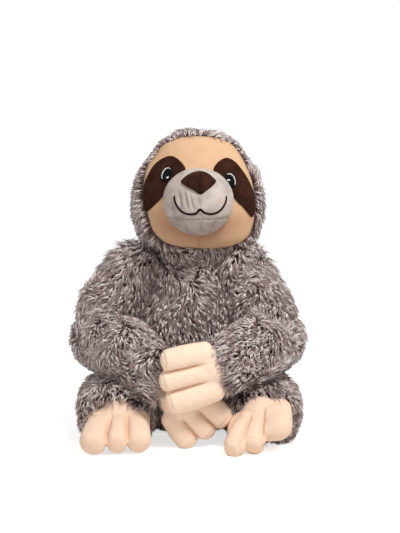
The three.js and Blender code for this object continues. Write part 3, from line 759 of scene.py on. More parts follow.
def camera_ray(x, depth, z):
    start = Vector(CAMERA_PLACE)
    return start, (Vector((x, depth, z)) - start).normalized()


def laid_on(tree, flat_points, depth):
    """Where points of the picture, given as X and Z at a depth, meet a surface."""
    places = []
    for x, z in flat_points:
        start, direction = camera_ray(x, depth, z)
        hit = tree.ray_cast(start, direction)[0]
        if hit is None:
            hit = tree.find_nearest(Vector((x, depth * MISSED_DEPTH_SHARE, z)))[0]
        places.append(tuple(hit))
    return np.array(places)


def raised_on(tree, flat, depth, core, heights):
    """Places on a surface, and the way out from them, whose raised points are seen at the picture points."""
    aimed = flat
    for _ in range(AIM_ROUNDS):
        surface = laid_on(tree, aimed, depth)
        outward = unit(surface - np.asarray(core))
        seen = in_picture(surface + outward * heights[:, None], depth)
        aimed = aimed + (flat - seen) * AIM_SHARE
    return surface, outward


def pad_on(name, tree, outline, centre, core, depth, profile, back, spokes, material):
    """A sewn-on piece: rings from its middle to its outline, raised by a profile and closed behind."""
    border = curve_through(outline, spokes, closed=True)
    middle = np.asarray(centre, float)
    places = [middle]
    heights = [profile[0][1]]
    for share, height in profile[1:]:
        places.extend(middle + (border - middle) * share)
        heights.extend([height] * spokes)
    surface, outward = raised_on(tree, np.array(places), depth, core, np.array(heights))
    front = surface + outward * np.array(heights)[:, None]
    inner = surface + outward * back
    rings = len(profile) - 1
    count = 1 + rings * spokes
    vertices = np.vstack([front, inner])
    faces = []
    for side in range(spokes):
        following = (side + 1) % spokes
        faces.append((0, 1 + following, 1 + side))
        faces.append((count, count + 1 + side, count + 1 + following))
        for ring in range(rings - 1):
            start = 1 + ring * spokes
            faces.append((start + side, start + following, start + spokes + following, start + spokes + side))
            start += count
            faces.append((start + side, start + spokes + side, start + spokes + following, start + following))
        start = 1 + (rings - 1) * spokes
        faces.append((start + side, start + following, count + start + following, count + start + side))
    made = object_from(name, vertices, faces, material)
    outside_first(made)
    return made


def outside_first(obj):
    """Turns the faces of a closed mesh outward."""
    shape = bmesh.new()
    shape.from_mesh(obj.data)
    bmesh.ops.recalc_face_normals(shape, faces=shape.faces)
    shape.to_mesh(obj.data)
    shape.free()


def bead_on(name, tree, line, core, depth, half_width, height, steps, material, taper=0.0):
    """A raised line of thread along a path on a surface, with rounded ends."""
    flat = curve_through(line, steps)
    places, outward = raised_on(tree, flat, depth, core, np.full(steps, height))
    ahead = unit(np.gradient(places, axis=0))
    aside = unit(np.cross(ahead, outward))
    shares = np.linspace(0, 1, steps)
    ends = np.sqrt(np.minimum(np.minimum(shares, 1 - shares) * steps / BEAD_END_STEPS, 1))
    width = half_width * ends * (1 - taper * np.abs(2 * shares - 1) ** 2)
    sides = BEAD_SIDES
    vertices = []
    for index in range(steps):
        for side in range(sides):
            angle = FULL_TURN * side / sides
            lift = height * max(math.sin(angle), BEAD_SINK_SHARE) * max(ends[index], BEAD_LEAST_HEIGHT_SHARE)
            over = aside[index] * max(width[index], BEAD_LEAST_WIDTH) * math.cos(angle)
            vertices.append(places[index] + over + outward[index] * lift)
    faces = [tuple(range(sides))[::-1], tuple(range((steps - 1) * sides, steps * sides))]
    for index in range(steps - 1):
        for side in range(sides):
            following = (side + 1) % sides
            start = index * sides
            faces.append((start + side, start + following, start + sides + following, start + sides + side))
    made = object_from(name, vertices, faces, material)
    outside_first(made)
    return made


# Fur
def rooted(obj, spacing, rng):
    """Evenly scattered places on a surface, with its smooth normals there."""
    points = points_of(obj)
    normals = normals_of(obj)
    corners = triangles_of(obj)
    a, b, c = (points[corners[:, index]] for index in range(3))
    area = np.linalg.norm(np.cross(b - a, c - a), axis=1) / 2
    total = np.cumsum(area)
    count = int(total[-1] / spacing**2)
    picks = (np.arange(count) + rng.random(count)) * total[-1] / count
    face = np.minimum(np.searchsorted(total, picks), len(corners) - 1)
    u, v = rng.random((2, count))
    over = u + v > 1
    u[over] = 1 - u[over]
    v[over] = 1 - v[over]
    weights = np.stack([1 - u - v, u, v], 1)[:, :, None]
    places = (points[corners[face]] * weights).sum(1)
    return places, unit((normals[corners[face]] * weights).sum(1))


def tuft_points(places, normals, lay, length_share, rng):
    """The root, middle and tip of every strand, tuft by tuft, and each strand's shade."""
    tufts = len(places)
    ahead = unit(lay - normals * (lay * normals).sum(1, keepdims=True))
    aside = np.cross(normals, ahead)
    turn = rng.normal(0, TUFT_TURN, (tufts, 1))
    ahead, aside = ahead * np.cos(turn) + aside * np.sin(turn), aside * np.cos(turn) - ahead * np.sin(turn)
    length = rng.uniform(*STRAND_LENGTH, (tufts, 1)) * length_share[:, None]
    rise = rng.uniform(*STRAND_RISE, (tufts, 1)) * length_share[:, None]
    reach = np.sqrt(np.maximum(length**2 - rise**2, LEAST_SQUARED_REACH))
    tuft_shade = rng.random(tufts)

    def each(values):
        return np.repeat(values, STRANDS_IN_TUFT, axis=0)

    count = tufts * STRANDS_IN_TUFT
    angle = rng.uniform(0, FULL_TURN, (count, 1))
    spread = TUFT_RADIUS * np.sqrt(rng.random((count, 1)))
    offset = each(ahead) * np.cos(angle) * spread + each(aside) * np.sin(angle) * spread
    root = each(places) + offset - each(normals) * STRAND_DEPTH
    share = rng.uniform(*STRAND_VARIETY, (count, 1))
    grown = each(normals) * each(rise) + each(ahead) * each(reach) * TIP_REACH_SHARE
    tip = each(places) + offset * TIP_GATHER_SHARE + share * grown
    tip += each(aside) * rng.normal(0, TIP_STRAY, (count, 1))
    bend = root + each(normals) * each(rise) * BEND_RISE_SHARE + each(ahead) * each(reach) * BEND_REACH_SHARE
    sway = each(rng.normal(0, TUFT_SWAY, (tufts, 1))) + rng.normal(0, STRAND_SWAY, (count, 1))
    bend += each(aside) * sway
    middle = MIDDLE_SHARES[0] * root + MIDDLE_SHARES[1] * bend + MIDDLE_SHARES[2] * tip
    shade = TUFT_SHADE_SHARE * smooth_step(*TUFT_SHADES, each(tuft_shade))
    shade = shade + STRAND_SHADE_SHARE * rng.random(count)
    return root, middle, tip, each(aside), np.clip(shade, 0, 1)


def above_floor(points):
    """Points that would sink below the floor are eased to just above it."""
    low = points[:, 2] < FLOOR_EASE
    room = FLOOR_EASE - FLOOR_CLEARANCE
    points[low, 2] = FLOOR_CLEARANCE + room * np.exp((points[low, 2] - FLOOR_EASE) / room)
    return points


def fur_pieces(name, *strands):
    """Closed three-sided strands, in as many meshes as their number needs."""
    pieces = []
    for part, start in enumerate(range(0, len(strands[0]), STRANDS_IN_PIECE)):
        chosen = slice(start, start + STRANDS_IN_PIECE)
        pieces.append(strand_mesh(f"{name}_fur_{part + 1}", *(values[chosen] for values in strands)))
    return pieces


def strand_mesh(name, root, middle, tip, aside, shade):
    count = len(root)
    rings = []
    for centre, ahead, radius in (
        (root, unit(middle - root), STRAND_ROOT_RADIUS),
        (middle, unit(tip - root), STRAND_MIDDLE_RADIUS),
    ):
        wide = unit(aside - ahead * (aside * ahead).sum(1, keepdims=True))
        deep = np.cross(ahead, wide)
        for side in range(3):
            angle = FULL_TURN * side / 3
            rings.append(centre + (wide * math.cos(angle) + deep * math.sin(angle)) * radius)
    points = np.stack(rings + [tip], 1)
    corner = np.array([
        (0, 2, 1), (0, 1, 4), (0, 4, 3), (1, 2, 5), (1, 5, 4), (2, 0, 3), (2, 3, 5),
        (3, 4, 6), (4, 5, 6), (5, 3, 6),
    ])
    faces = (np.arange(count)[:, None, None] * 7 + corner[None]).reshape(-1, 3)
    vertices = above_floor(points.reshape(-1, 3))
    mesh = bpy.data.meshes.new(name)
    mesh.vertices.add(len(vertices))
    mesh.vertices.foreach_set("co", (vertices * MM).astype(np.float32).ravel())
    mesh.loops.add(faces.size)
    mesh.loops.foreach_set("vertex_index", faces.astype(np.int32).ravel())
    mesh.polygons.add(len(faces))
    mesh.polygons.foreach_set("loop_start", np.arange(0, faces.size, 3, dtype=np.int32))
    mesh.update(calc_edges=True)
    along = np.array([0.0, 0.0, 0.0, 0.5, 0.5, 0.5, 1.0])
    values = np.zeros((count, 7, 3), np.float32)
    values[:, :, 0] = along
    values[:, :, 1] = shade[:, None]
    attribute = mesh.attributes.new("fibre", "FLOAT_VECTOR", "POINT")
    attribute.data.foreach_set("vector", values.ravel())
    spread = np.array([-1.0, 0.0, 1.0, -1.0, 0.0, 1.0, 0.0]) * BAKE_STRAND_WIDTH
    across = BAKE_ACROSS[0] + BAKE_ACROSS[1] * shade[:, None] + spread
    upward = np.broadcast_to(BAKE_ALONG[0] + BAKE_ALONG[1] * along, (count, 7))
    flat = np.stack([across, upward], 2).reshape(-1, 2)[faces.ravel()].reshape(count, 10, 3, 2)
    flat[:, 0, :, 1] = BAKE_ROOT_CAP
    layer = mesh.uv_layers.new(name="OFBake")
    layer.uv.foreach_set("vector", np.clip(flat, 0, 1).astype(np.float32).ravel())
    return link_mesh(name, mesh, fibre)


def grow_fur(name, base, lay_at, keep_at, seed, length_at=None):
    rng = np.random.default_rng(seed)
    places, normals = rooted(base, TUFT_SPACING, rng)
    kept = keep_at(places, normals)
    places, normals = places[kept], normals[kept]
    share = np.ones(len(places)) if length_at is None else length_at(places, normals)
    return fur_pieces(name, *tuft_points(places, normals, lay_at(places, normals), share, rng))


# Bases
def copies(*names):
    return [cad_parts[name] for name in names]


def finish_base(base, fill, slot, *nodes):
    points = points_of(base)
    points[:, 2] = np.maximum(points[:, 2], 0)
    set_points(base, points)
    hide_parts(*nodes)


def distance_to(points, centre):
    return np.linalg.norm(points - np.asarray(centre), axis=1)


def in_opening(places, end, way, radius):
    """Whether each place lies on the end face of a limb, where its hand or foot comes out."""
    return ((places - end) @ way > -END_FACE_MARGIN) & (distance_to(places, end) < radius)


def near_cuff(places, end, way):
    """A share that grows to one over the last stretch of a limb."""
    return smooth_step(-CUFF_REACH, 0, (places - end) @ way)


def ride_all(pieces, body):
    for piece in pieces:
        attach(piece, body)


def make_torso():
    nodes = ("torso_skin", "torso_filling", "pellet_bag", "back_closing_seam")
    sources = copies("torso_skin", "torso_filling", "pellet_bag")
    base = merged("torso_base", sources, BASE_VOXEL, BASE_SMOOTHING, fur_backing)
    finish_base(base, BODY_FILL, "shaggy_fur", *nodes)
    sockets = [(SHOULDERS[side], SHOULDER_RADIUS) for side in SHOULDERS]
    sockets += [(HIPS[side], HIP_RADIUS) for side in HIPS]
    sockets.append((NECK, NECK_BALL_RADIUS))

    def keep_at(places, normals):
        clear = (places[:, 2] > FLOOR_TOUCH_HEIGHT) | (normals[:, 2] > FLOOR_TOUCH_NORMAL)
        for centre, radius in sockets:
            clear &= distance_to(places, centre) > radius + SOCKET_MARGIN
        return clear

    def lay_at(places, normals):
        return np.array(TORSO_SAG) + SWIRL_SHARE * wandering(places, SWIRL_LENGTH, SEED + 1)

    def length_at(places, normals):
        outer = smooth_step(*COLLAR_FRONT_WIDTHS, np.abs(places[:, 0] - NECK[0]))
        share = COLLAR_FRONT_SHARE + (COLLAR_LENGTH_SHARE - COLLAR_FRONT_SHARE) * outer
        return 1 + (share - 1) * smooth_step(*COLLAR_HEIGHTS, places[:, 2])

    fur = grow_fur("torso", base, lay_at, keep_at, SEED, length_at)
    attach(base, "torso")
    ride_all(fur, "torso")
    return base


def in_picture(places, depth):
    """X and Z at a depth of where the camera sees each place."""
    camera = np.array(CAMERA_PLACE)
    share = (depth - camera[1]) / (places[:, 1] - camera[1])
    seen = camera + (places - camera) * share[:, None]
    return seen[:, [0, 2]]


def make_head():
    base = merged("head_base", copies("head_skin", "head_filling"), BASE_VOXEL, BASE_SMOOTHING, fur_backing)
    finish_base(base, HEAD_FILL, "shaggy_fur", "head_skin", "head_filling")
    tree = tree_of(base)
    panel_tree = tree_of(make_face_panel(tree))

    def keep_at(places, normals):
        covered = depth_inside(panel_tree, places) > -FACE_FUR_GAP
        return ~covered & (distance_to(places, NECK) > NECK_BALL_RADIUS + SOCKET_MARGIN)

    def lay_at(places, normals):
        away = places - np.array([HEAD_CENTRE[0], 0, HEAD_CENTRE[2]])
        away[:, 1] = HEAD_LAY_BACK
        swirl = SWIRL_SHARE * HEAD_SWIRL_SHARE * wandering(places, SWIRL_LENGTH, SEED + 3)
        return unit(away) + np.array(HEAD_SAG) + swirl

    def length_at(places, normals):
        aside = smooth_step(*CROWN_WIDTHS, np.abs(places[:, 0] - HEAD_CENTRE[0]))
        return 1 - (1 - CROWN_LENGTH_SHARE) * aside * smooth_step(*CROWN_HEIGHTS, places[:, 2])

    fur = grow_fur("head", base, lay_at, keep_at, SEED + 2, length_at)
    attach(base, "head")
    ride_all(fur, "head")
    return tree


def make_neck():
    path = [(NECK[0], NECK[1], NECK[2] + rise) for rise in (-NECK_HALF_HEIGHT, 0, NECK_HALF_HEIGHT)]
    ball = stuffed_form(path, NECK_GIRTHS, (1, 0, 0), NECK_DOMES)
    base = object_from("neck_base", *ball, material=fur_backing)
    outside_first(base)
    finish_base(base, NECK_FILL, "shaggy_fur", "neck_filling")

    def keep_at(places, normals):
        return np.abs(places[:, 2] - NECK[2]) < NECK_FUR_REACH

    def lay_at(places, normals):
        return np.array(TORSO_SAG) + SWIRL_SHARE * wandering(places, SWIRL_LENGTH, SEED + 5)

    fur = grow_fur("neck", base, lay_at, keep_at, SEED + 4)
    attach(base, "neck")
    ride_all(fur, "neck")


def make_arm(side, torso_tree):
    upper, fore = f"{side}_upper_arm", f"{side}_forearm"
    nodes = (f"{upper}_skin", f"{upper}_filling", f"{fore}_skin", f"{fore}_filling")
    base = merged(f"{side}_arm_base", copies(*nodes), BASE_VOXEL, BASE_SMOOTHING, fur_backing)
    finish_base(base, BODY_FILL, "shaggy_fur", *nodes)
    shoulder, elbow, wrist = (np.array(places[side]) for places in (SHOULDERS, ELBOWS, WRISTS))
    down_arm = unit(elbow - shoulder)
    down_forearm = unit(wrist - elbow)
    down_hand = unit(np.mean([tip for _, tip, _ in DIGIT_SHARES[f"{side}_hand"]], axis=0))

    def keep_at(places, normals):
        buried = depth_inside(torso_tree, places) > BURIED_DEPTH
        return ~buried & ~in_opening(places, wrist, down_forearm, SLEEVE_OPENING)

    def lay_at(places, normals):
        past_elbow = (places - elbow) @ unit(down_arm + down_forearm)
        share = smooth_step(-ELBOW_LAY_REACH, ELBOW_LAY_REACH, past_elbow)[:, None]
        along = down_arm * (1 - share) + down_forearm * share
        cuff = near_cuff(places, wrist, down_forearm)[:, None]
        loose = np.array(ARM_SAG) + SWIRL_SHARE * wandering(places, SWIRL_LENGTH, SEED + 7)
        onto_hand = unit(down_forearm + down_hand) * cuff
        return along * ARM_LAY_SHARE + onto_hand + loose * (1 - cuff * CUFF_CALM_SHARE)

    def length_at(places, normals):
        cuff = near_cuff(places, wrist, down_forearm)
        collar = smooth_step(*COLLAR_HEIGHTS, places[:, 2])
        return 1 + (CUFF_LENGTH_SHARES[f"{side}_arm"] - 1) * cuff + (COLLAR_LENGTH_SHARE - 1) * collar

    fur = grow_fur(f"{side}_arm", base, lay_at, keep_at, SEED + 6, length_at)
    for piece in [base] + fur:
        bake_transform(piece)


def make_leg(side, torso_tree):
    nodes = (f"{side}_leg_skin", f"{side}_leg_filling")
    base = merged(f"{side}_leg_base", copies(*nodes), BASE_VOXEL, BASE_SMOOTHING, fur_backing)
    points, normals = points_of(base), normals_of(base)
    fullness = LEG_FULLNESS * smooth_step(*LEG_FULLNESS_NORMALS, normals[:, 0] * OUTWARD[side])
    set_points(base, points + normals * fullness[:, None])
    finish_base(base, BODY_FILL, "shaggy_fur", *nodes)
    hip, ankle = (np.array(places[side]) for places in (HIPS, ANKLES))
    down_leg = unit(ankle - hip)

    def keep_at(places, normals):
        buried = depth_inside(torso_tree, places) > BURIED_DEPTH
        floor = (places[:, 2] < FLOOR_TOUCH_HEIGHT) & (normals[:, 2] < FLOOR_TOUCH_NORMAL)
        return ~buried & ~floor & ~in_opening(places, ankle, down_leg, LEG_OPENING)

    def lay_at(places, normals):
        cuff = near_cuff(places, ankle, down_leg)[:, None]
        loose = np.array(LEG_SAG) + SWIRL_SHARE * wandering(places, SWIRL_LENGTH, SEED + 9)
        return down_leg * (LEG_LAY_SHARE + cuff) + loose * (1 - cuff * CUFF_CALM_SHARE)

    def length_at(places, normals):
        cuff = near_cuff(places, ankle, down_leg)
        cuff = cuff * smooth_step(*LEG_CUFF_NORMALS, normals[:, 2])
        return 1 + (CUFF_LENGTH_SHARES[f"{side}_leg"] - 1) * cuff

    fur = grow_fur(f"{side}_leg", base, lay_at, keep_at, SEED + 8, length_at)
    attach(base, f"{side}_leg")
    ride_all(fur, f"{side}_leg")


# Hands and feet
def paw_digits(kind, joint, size):
    """Where each digit starts and ends, and its half width."""
    joint = np.array(joint)
    length = size["length"]
    return [
        (joint + np.array(root) * length, joint + np.array(tip) * length, size["digit"] * fullness)
        for root, tip, fullness in DIGIT_SHARES[kind]
    ]


def blended(first, second, shares):
    return first * shares[0] + second * shares[1]


def paw_forms(kind, joint, size, digits):
    """The palm and the three digits of a hand or foot."""
    joint = np.array(joint)
    across = np.array(PAW_ACROSS[kind])
    group = kind.split("_")[1]
    wide, thick = size["wide"], size["thick"]
    full_root = size["root"] * ROOT_FULLNESS
    middle_root, middle_tip = (np.mean([ends[end] for ends in digits], axis=0) for end in (0, 1))
    palm_start = blended(joint, middle_root, PALM_START_SHARES)
    palm_end = blended(middle_root, middle_tip, PALM_END_SHARES)
    forms = [
        stuffed_form([joint, middle_root], [(full_root, full_root)] * 2, across, (full_root, thick)),
        stuffed_form(
            [palm_start, middle_root, palm_end],
            [(wide * width, thick * height) for width, height in zip(PALM_WIDTHS[group], PALM_THICKNESSES)],
            across, (thick * PALM_DOMES[0], thick * PALM_DOMES[1]), PALM_BLUNTNESS),
    ]
    for root, tip, half_width in digits:
        forms.append(stuffed_form(
            [root, blended(root, tip, DIGIT_MIDDLE_SHARES), tip],
            [(half_width * share, thick * share) for share in DIGIT_GIRTHS[group]],
            across, (half_width * DIGIT_ROOT_DOME, half_width * DIGIT_DOMES[group]), DIGIT_BLUNTNESS[group]))
    return forms


def share_along(points, start, end):
    """Each point's share of the way between two places."""
    way = end - start
    return (points - start) @ way / (way @ way)


def distance_to_line(points, start, end):
    """How far each point lies from a straight line between two places."""
    share = np.clip(share_along(points, start, end), 0, 1)
    return np.linalg.norm(points - (start + share[:, None] * (end - start)), axis=1)


def stitched(base, kind, digits):
    """Sinks creases between each two neighbouring digits, and a tip seam and knuckle into each digit, and
    marks painted shade over a foot, in the creases and along the tip seams.
    """
    group = kind.split("_")[1]
    points = points_of(base)
    moved = points.copy()
    # Painted shade: a flat share for a foot, raised in the creases and along the tip seams
    shade = np.full(len(points), PAINTED_PAW_SHADES[group])
    for (start_1, end_1, wide_1), (start_2, end_2, wide_2) in zip(digits, digits[1:]):
        start, end = (start_1 + start_2) / 2, (end_1 + end_2) / 2
        through = unit(np.cross(end - start, PAW_ACROSS[kind]))
        aside = unit(np.cross(end - start, through))
        balance = wide_1 / (wide_1 + wide_2)
        start, end = start_1 + (start_2 - start_1) * balance, end_1 + (end_2 - end_1) * balance
        share = share_along(points, start, end)
        on_line = start + np.clip(share, CREASE_START, CREASE_REACH)[:, None] * (end - start)
        gap = np.abs((points - on_line) @ aside)
        height = (points - on_line) @ through
        fade = smooth_step(*CREASE_FADE, share)
        sink = CREASE_DEPTH * fade * np.exp(-((gap / CREASE_HALF_WIDTH) ** 2))
        sink = np.minimum(sink, np.abs(height) * CREASE_SHARE_OF_THICKNESS)
        moved -= through * (np.sign(height) * sink)[:, None]
        shade = np.maximum(shade, PAINTED_CREASE_SHADE * fade * np.exp(-((gap / PAINTED_CREASE_SHADE_WIDTH) ** 2)))
    gaps = np.array([distance_to_line(points, start, end) / half_width for start, end, half_width in digits])
    nearest = gaps.argmin(axis=0)
    normals = normals_of(base)
    for index, (start, end, half_width) in enumerate(digits):
        past = (points - end) @ unit(end - start) - half_width * TIP_SEAM_PLACE
        behind = (points - start) @ unit(end - start) - np.linalg.norm(end - start) * KNUCKLE_SHARE
        tip_seam = np.exp(-((past / TIP_SEAM_HALF_WIDTH) ** 2)) * (nearest == index)
        knuckle = np.exp(-((behind / KNUCKLE_HALF_WIDTH) ** 2)) * (nearest == index)
        knuckle = knuckle * (gaps[index] < KNUCKLE_REACH)
        moved -= normals * (TIP_SEAM_DEPTH * tip_seam + KNUCKLE_DEPTHS[group] * knuckle)[:, None]
        shade = np.maximum(shade, PAINTED_TIP_SEAM_SHADE * tip_seam)
    set_points(base, moved)
    mark_painted_shade(base, shade)


def make_paw(kind, joint, size):
    digits = paw_digits(kind, joint, size)
    forms = paw_forms(kind, joint, size, digits)
    sources = [object_from(f"{kind}_source_{index}", *form) for index, form in enumerate(forms)]
    base = merged(f"{kind}_pad", sources, PAW_VOXEL, PAW_SMOOTHING, velours["peach_velour"])
    stitched(base, kind, digits)
    for source in sources:
        bpy.data.objects.remove(source)
    finish_base(base, PAW_FILL, "peach_velour", f"{kind}_skin", f"{kind}_filling")
    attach(base, kind)


# Face
def make_face_panel(head_tree):
    panel = pad_on(
        "face", head_tree, FACE_OUTLINE, FACE_MIDDLE, HEAD_CENTRE, FACE_DEPTH, FACE_PROFILE, FACE_BACK,
        FACE_SPOKES, velours["tan_velour"])
    # Painted shadow under the muzzle, darkening the tan velour towards its deep colour
    flat = in_picture(points_of(panel), FACE_DEPTH)
    beside, above = flat[:, 0] - MUZZLE_CENTRE[0], flat[:, 1] - MUZZLE_CENTRE[2]
    ring = np.hypot(beside / MUZZLE_HALF[0], above / MUZZLE_HALF[2])
    mark_painted_shade(panel, (1 - smooth_step(*PAINTED_SHADOW_RINGS, ring)) * smooth_step(0, PAINTED_SHADOW_DROP, above))
    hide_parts("face_panel")
    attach(panel, "head")
    return panel


def make_face(head_tree):
    for side, outline in PATCH_OUTLINES.items():
        patch = pad_on(
            f"{side}_patch", head_tree, outline, PATCH_CENTRES[side], HEAD_CENTRE, PATCH_DEPTH, PATCH_PROFILE,
            PATCH_BACK, PATCH_SPOKES, velours["brown_velour"])
        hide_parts(f"{side}_eye_patch")
        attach(patch, "head")
        make_eye(side, head_tree)
    chin = bead_on(
        "chin_line", head_tree, CHIN_LINE, HEAD_CENTRE, CHIN_DEPTH, CHIN_HALF_WIDTH, CHIN_HEIGHT, CHIN_STEPS,
        threads["seam_thread"])
    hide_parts("chin_seam")
    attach(chin, "head")


def leaning(points, centre, lean):
    """Points of an upright shape, leaned to one side and placed."""
    cosine, sine = math.cos(lean), math.sin(lean)
    return [(centre[0] + x * cosine + z * sine, centre[1] - x * sine + z * cosine) for x, z in points]


def oval(half_width, half_length, count=20):
    angles = [FULL_TURN * step / count for step in range(count)]
    return [(half_width * math.sin(angle), half_length * math.cos(angle)) for angle in angles]


def make_eye(side, head_tree):
    centre = EYE_CENTRES[side]
    lean = EYE_LEANS[side]
    outer = OUTWARD[side]
    ball = leaning(oval(EYE_HALF_WIDTH, EYE_HALF_LENGTH), centre, lean)
    pupil = pad_on(
        f"{side}_pupil", head_tree, ball, centre, HEAD_CENTRE, EYE_DEPTH, EYE_PROFILE, EYE_BACK, EYE_SPOKES,
        threads["black_thread"])
    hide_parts(f"{side}_eye_pupil_stitching")
    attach(pupil, "head")
    arc = [
        (outer * EYE_HALF_WIDTH * math.sin(angle) * RIM_SHARE, EYE_HALF_LENGTH * RIM_SHARE * math.cos(angle))
        for angle in np.linspace(*RIM_TURN, RIM_POINTS)
    ]
    rim = bead_on(
        f"{side}_rim", head_tree, leaning(arc, centre, lean), HEAD_CENTRE, EYE_DEPTH, RIM_HALF_WIDTH,
        RIM_HEIGHT, RIM_STEPS, threads["white_thread"], taper=RIM_TAPER)
    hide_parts(f"{side}_eye_rim_stitching")
    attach(rim, "head")
    glint_centre = leaning([(-outer * GLINT_INSET, GLINT_HEIGHTS_IN_EYE[side])], centre, lean)[0]
    glint_line = leaning(GLINT_LINE, glint_centre, GLINT_LEANS[side])
    glint = bead_on(
        f"{side}_glint", head_tree, glint_line, HEAD_CENTRE, EYE_DEPTH, GLINT_HALF_WIDTH, GLINT_HEIGHT,
        GLINT_STEPS, threads["white_thread"])
    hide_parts(f"{side}_eye_highlight_stitching")
    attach(glint, "head")


def muzzle_points(points):
    """Sinks the jaw seam and the wrinkles into the front of the muzzle."""
    core = np.array(MUZZLE_CENTRE)
    outward = unit(points - core)
    front = smooth_step(*MUZZLE_FRONT, -outward[:, 1])
    sink = np.exp(-((points[:, 2] - JAW_SEAM_HEIGHT) / JAW_SEAM_HALF_WIDTH) ** 2) * JAW_SEAM_DEPTH
    flat = in_picture(points, MOUTH_DEPTH)
    for start, end, width, depth in WRINKLES:
        start, end = np.array(start), np.array(end)
        distance = distance_to_line(flat, start, end)
        fade = np.sqrt(np.sin(math.pi * np.clip(share_along(flat, start, end), *WRINKLE_FADE)))
        sink = sink + front * fade * depth * WRINKLE_FULLNESS * np.exp(-((distance / width) ** 2))
    return points - outward * sink[:, None], sink


def make_muzzle():
    rings, sides = MUZZLE_RINGS, MUZZLE_SIDES
    turn = math.radians(MUZZLE_TURN)
    vertices = [np.array(MUZZLE_CENTRE) + np.array([0, -MUZZLE_HALF[1], 0])]
    for ring in range(1, rings + 1):
        angle = turn * ring / rings
        for side in range(sides):
            around = FULL_TURN * side / sides
            direction = np.array([
                math.sin(angle) * math.cos(around), -math.cos(angle), math.sin(angle) * math.sin(around)])
            if direction[2] < 0:
                direction[2] *= MUZZLE_DROP
            vertices.append(np.array(MUZZLE_CENTRE) + direction * np.array(MUZZLE_HALF))
    faces = [(0, 1 + side, 1 + (side + 1) % sides) for side in range(sides)]
    for ring in range(rings - 1):
        start = 1 + ring * sides
        for side in range(sides):
            following = (side + 1) % sides
            faces.append((start + side, start + sides + side, start + sides + following, start + following))
    last = 1 + (rings - 1) * sides
    faces.append(tuple(last + side for side in range(sides)))
    vertices, sink = muzzle_points(np.array(vertices))
    whole = object_from("muzzle_whole", vertices, faces)
    # Painted shade in the wrinkles and the jaw seam, from how deep they sink
    mark_painted_shade(whole, sink * PAINTED_SHADE_IN_MUZZLE)
    outside_first(whole)
    tree = tree_of(whole)
    halves = (
        ("muzzle_upper", 1, "muzzle_upper_skin", "grey_velour", velours["grey_velour"]),
        ("muzzle_jaw", -1, "muzzle_jaw_skin", "grey_velour_jaw", velours["grey_velour_jaw"]),
    )
    for name, facing, node, slot, material in halves:
        shape = bmesh.new()
        shape.from_mesh(whole.data)
        bmesh.ops.bisect_plane(
            shape, geom=shape.verts[:] + shape.edges[:] + shape.faces[:],
            plane_co=(0, 0, JAW_SEAM_HEIGHT * MM), plane_no=(0, 0, facing), clear_inner=True)
        edges = [edge for edge in shape.edges if edge.is_boundary]
        bmesh.ops.holes_fill(shape, edges=edges, sides=0)
        bmesh.ops.recalc_face_normals(shape, faces=shape.faces)
        mesh = bpy.data.meshes.new(name)
        shape.to_mesh(mesh)
        shape.free()
        piece = link_mesh(name, mesh, material)
        nodes = (node, "muzzle_filling") if facing > 0 else (node,)
        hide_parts(*nodes)
        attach(piece, "head")
    bpy.data.objects.remove(whole)
    return tree


def make_nose_and_mouth(tree):
    nose = pad_on(
        "nose_pad", tree, NOSE_OUTLINE, NOSE_MIDDLE, MUZZLE_CENTRE, NOSE_DEPTH, NOSE_PROFILE, NOSE_BACK,
        NOSE_SPOKES, velours["brown_velour"])
    points = points_of(nose)
    sink = NOSE_CREASE_DEPTH * np.exp(-(((points[:, 0] - NOSE_CREASE_PLACE) / NOSE_CREASE_HALF_WIDTH) ** 2))
    height = np.maximum(-depth_inside(tree, points), 0)
    sink = np.minimum(sink, height * CREASE_SHARE_OF_THICKNESS)
    set_points(nose, points - unit(points - np.array(MUZZLE_CENTRE)) * sink[:, None])
    # Painted shade in the nose's middle groove
    mark_painted_shade(nose, sink * PAINTED_SHADE_IN_NOSE)
    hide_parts("nose")
    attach(nose, "head")
    mouth = bead_on(
        "mouth_line", tree, MOUTH_LINE, MUZZLE_CENTRE, MOUTH_DEPTH, MOUTH_HALF_WIDTH, THREAD_HEIGHT,
        MOUTH_STEPS, threads["black_thread"])
    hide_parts("mouth_stitching")
    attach(mouth, "head")


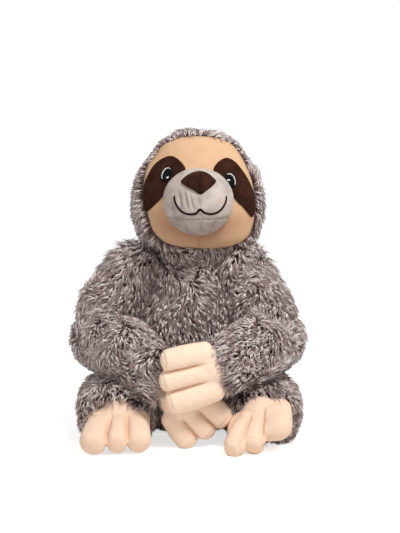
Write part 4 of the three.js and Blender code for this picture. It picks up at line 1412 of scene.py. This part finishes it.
# Stage
def make_floor():
    """A pale floor that fades out far from the toy."""
    bpy.ops.mesh.primitive_circle_add(
        vertices=FLOOR_SIDES, radius=FLOOR_RADIUS, fill_type="NGON", location=(0, 0, 0))
    floor = bpy.context.object
    floor.name = "floor"
    material = bpy.data.materials.new("pale_floor")
    material.use_nodes = True
    material.node_tree.nodes.clear()
    output = add_node(material, "ShaderNodeOutputMaterial")
    matt = add_node(material, "ShaderNodeBsdfDiffuse")
    matt.inputs["Color"].default_value = FLOOR_COLOUR
    glow = add_node(material, "ShaderNodeEmission")
    glow.inputs["Color"].default_value = WHITE
    seen = add_node(material, "ShaderNodeLightPath")
    lift = add_node(material, "ShaderNodeMath", operation="MULTIPLY")
    lift.inputs[1].default_value = FLOOR_LIFT
    connect(material, seen.outputs["Is Camera Ray"], lift.inputs[0])
    connect(material, lift.outputs[0], glow.inputs["Strength"])
    both = add_node(material, "ShaderNodeAddShader")
    connect(material, matt.outputs[0], both.inputs[0])
    connect(material, glow.outputs[0], both.inputs[1])
    place = add_node(material, "ShaderNodeTexCoord")
    length = add_node(material, "ShaderNodeVectorMath", operation="LENGTH")
    connect(material, place.outputs["Object"], length.inputs[0])
    fade = add_node(material, "ShaderNodeMapRange", interpolation_type="SMOOTHSTEP")
    fade.inputs["From Min"].default_value, fade.inputs["From Max"].default_value = FLOOR_FADE
    connect(material, length.outputs["Value"], fade.inputs["Value"])
    clear = add_node(material, "ShaderNodeBsdfTransparent")
    whole = add_node(material, "ShaderNodeMixShader")
    connect(material, fade.outputs["Result"], whole.inputs[0])
    connect(material, both.outputs[0], whole.inputs[1])
    connect(material, clear.outputs[0], whole.inputs[2])
    connect(material, whole.outputs[0], output.inputs["Surface"])
    floor.data.materials.append(material)


def make_world():
    """White surroundings that light the toy less than they show."""
    world = bpy.data.worlds.new("studio")
    bpy.context.scene.world = world
    world.use_nodes = True
    background = world.node_tree.nodes["Background"]
    background.inputs["Color"].default_value = WHITE
    rays = add_node(world, "ShaderNodeLightPath").outputs
    direct = rays["Is Camera Ray"]
    for other in ("Is Glossy Ray", "Is Transmission Ray"):
        most = add_node(world, "ShaderNodeMath", operation="MAXIMUM")
        connect(world, direct, most.inputs[0])
        connect(world, rays[other], most.inputs[1])
        direct = most.outputs[0]
    level = add_node(world, "ShaderNodeMapRange")
    level.inputs["To Min"].default_value = SURROUNDING_LIGHT
    level.inputs["To Max"].default_value = 1.0
    connect(world, direct, level.inputs["Value"])
    connect(world, level.outputs["Result"], background.inputs["Strength"])


def facing(place, target):
    """The turn of a camera or light that stands at a place and looks at a target."""
    return (Vector(target) - Vector(place)).to_track_quat("-Z", "Y").to_euler()


def make_light(name, place, size, power):
    data = bpy.data.lights.new(name, "AREA")
    data.shape = "SQUARE"
    data.size = size
    data.energy = power
    light = bpy.data.objects.new(name, data)
    light.location = place
    light.rotation_euler = facing(place, LIGHT_AIM)
    bpy.context.scene.collection.objects.link(light)


def make_camera():
    data = bpy.data.cameras.new("camera")
    data.lens = LENS
    data.sensor_width = SENSOR_WIDTH
    data.sensor_fit = "HORIZONTAL"
    data.shift_x = SHIFT_X
    data.shift_y = SHIFT_Y
    camera = bpy.data.objects.new("camera", data)
    camera.location = Vector(CAMERA_PLACE) * MM
    camera.rotation_euler = facing(CAMERA_PLACE, AIM_PLACE)
    bpy.context.scene.collection.objects.link(camera)
    bpy.context.scene.camera = camera


make_camera()
make_floor()
make_world()
for name, light in LIGHTS.items():
    make_light(name, **light)
bpy.context.scene.view_settings.view_transform = "Standard"

torso = make_torso()
torso_tree = tree_of(torso)
head_tree = make_head()
make_neck()
for side in ("left", "right"):
    make_arm(side, torso_tree)
    make_leg(side, torso_tree)
    make_paw(f"{side}_hand", WRISTS[side], PAW_SIZES["hand"])
    make_paw(f"{side}_foot", ANKLES[side], PAW_SIZES["foot"])
make_face(head_tree)
muzzle_tree = make_muzzle()
make_nose_and_mouth(muzzle_tree)
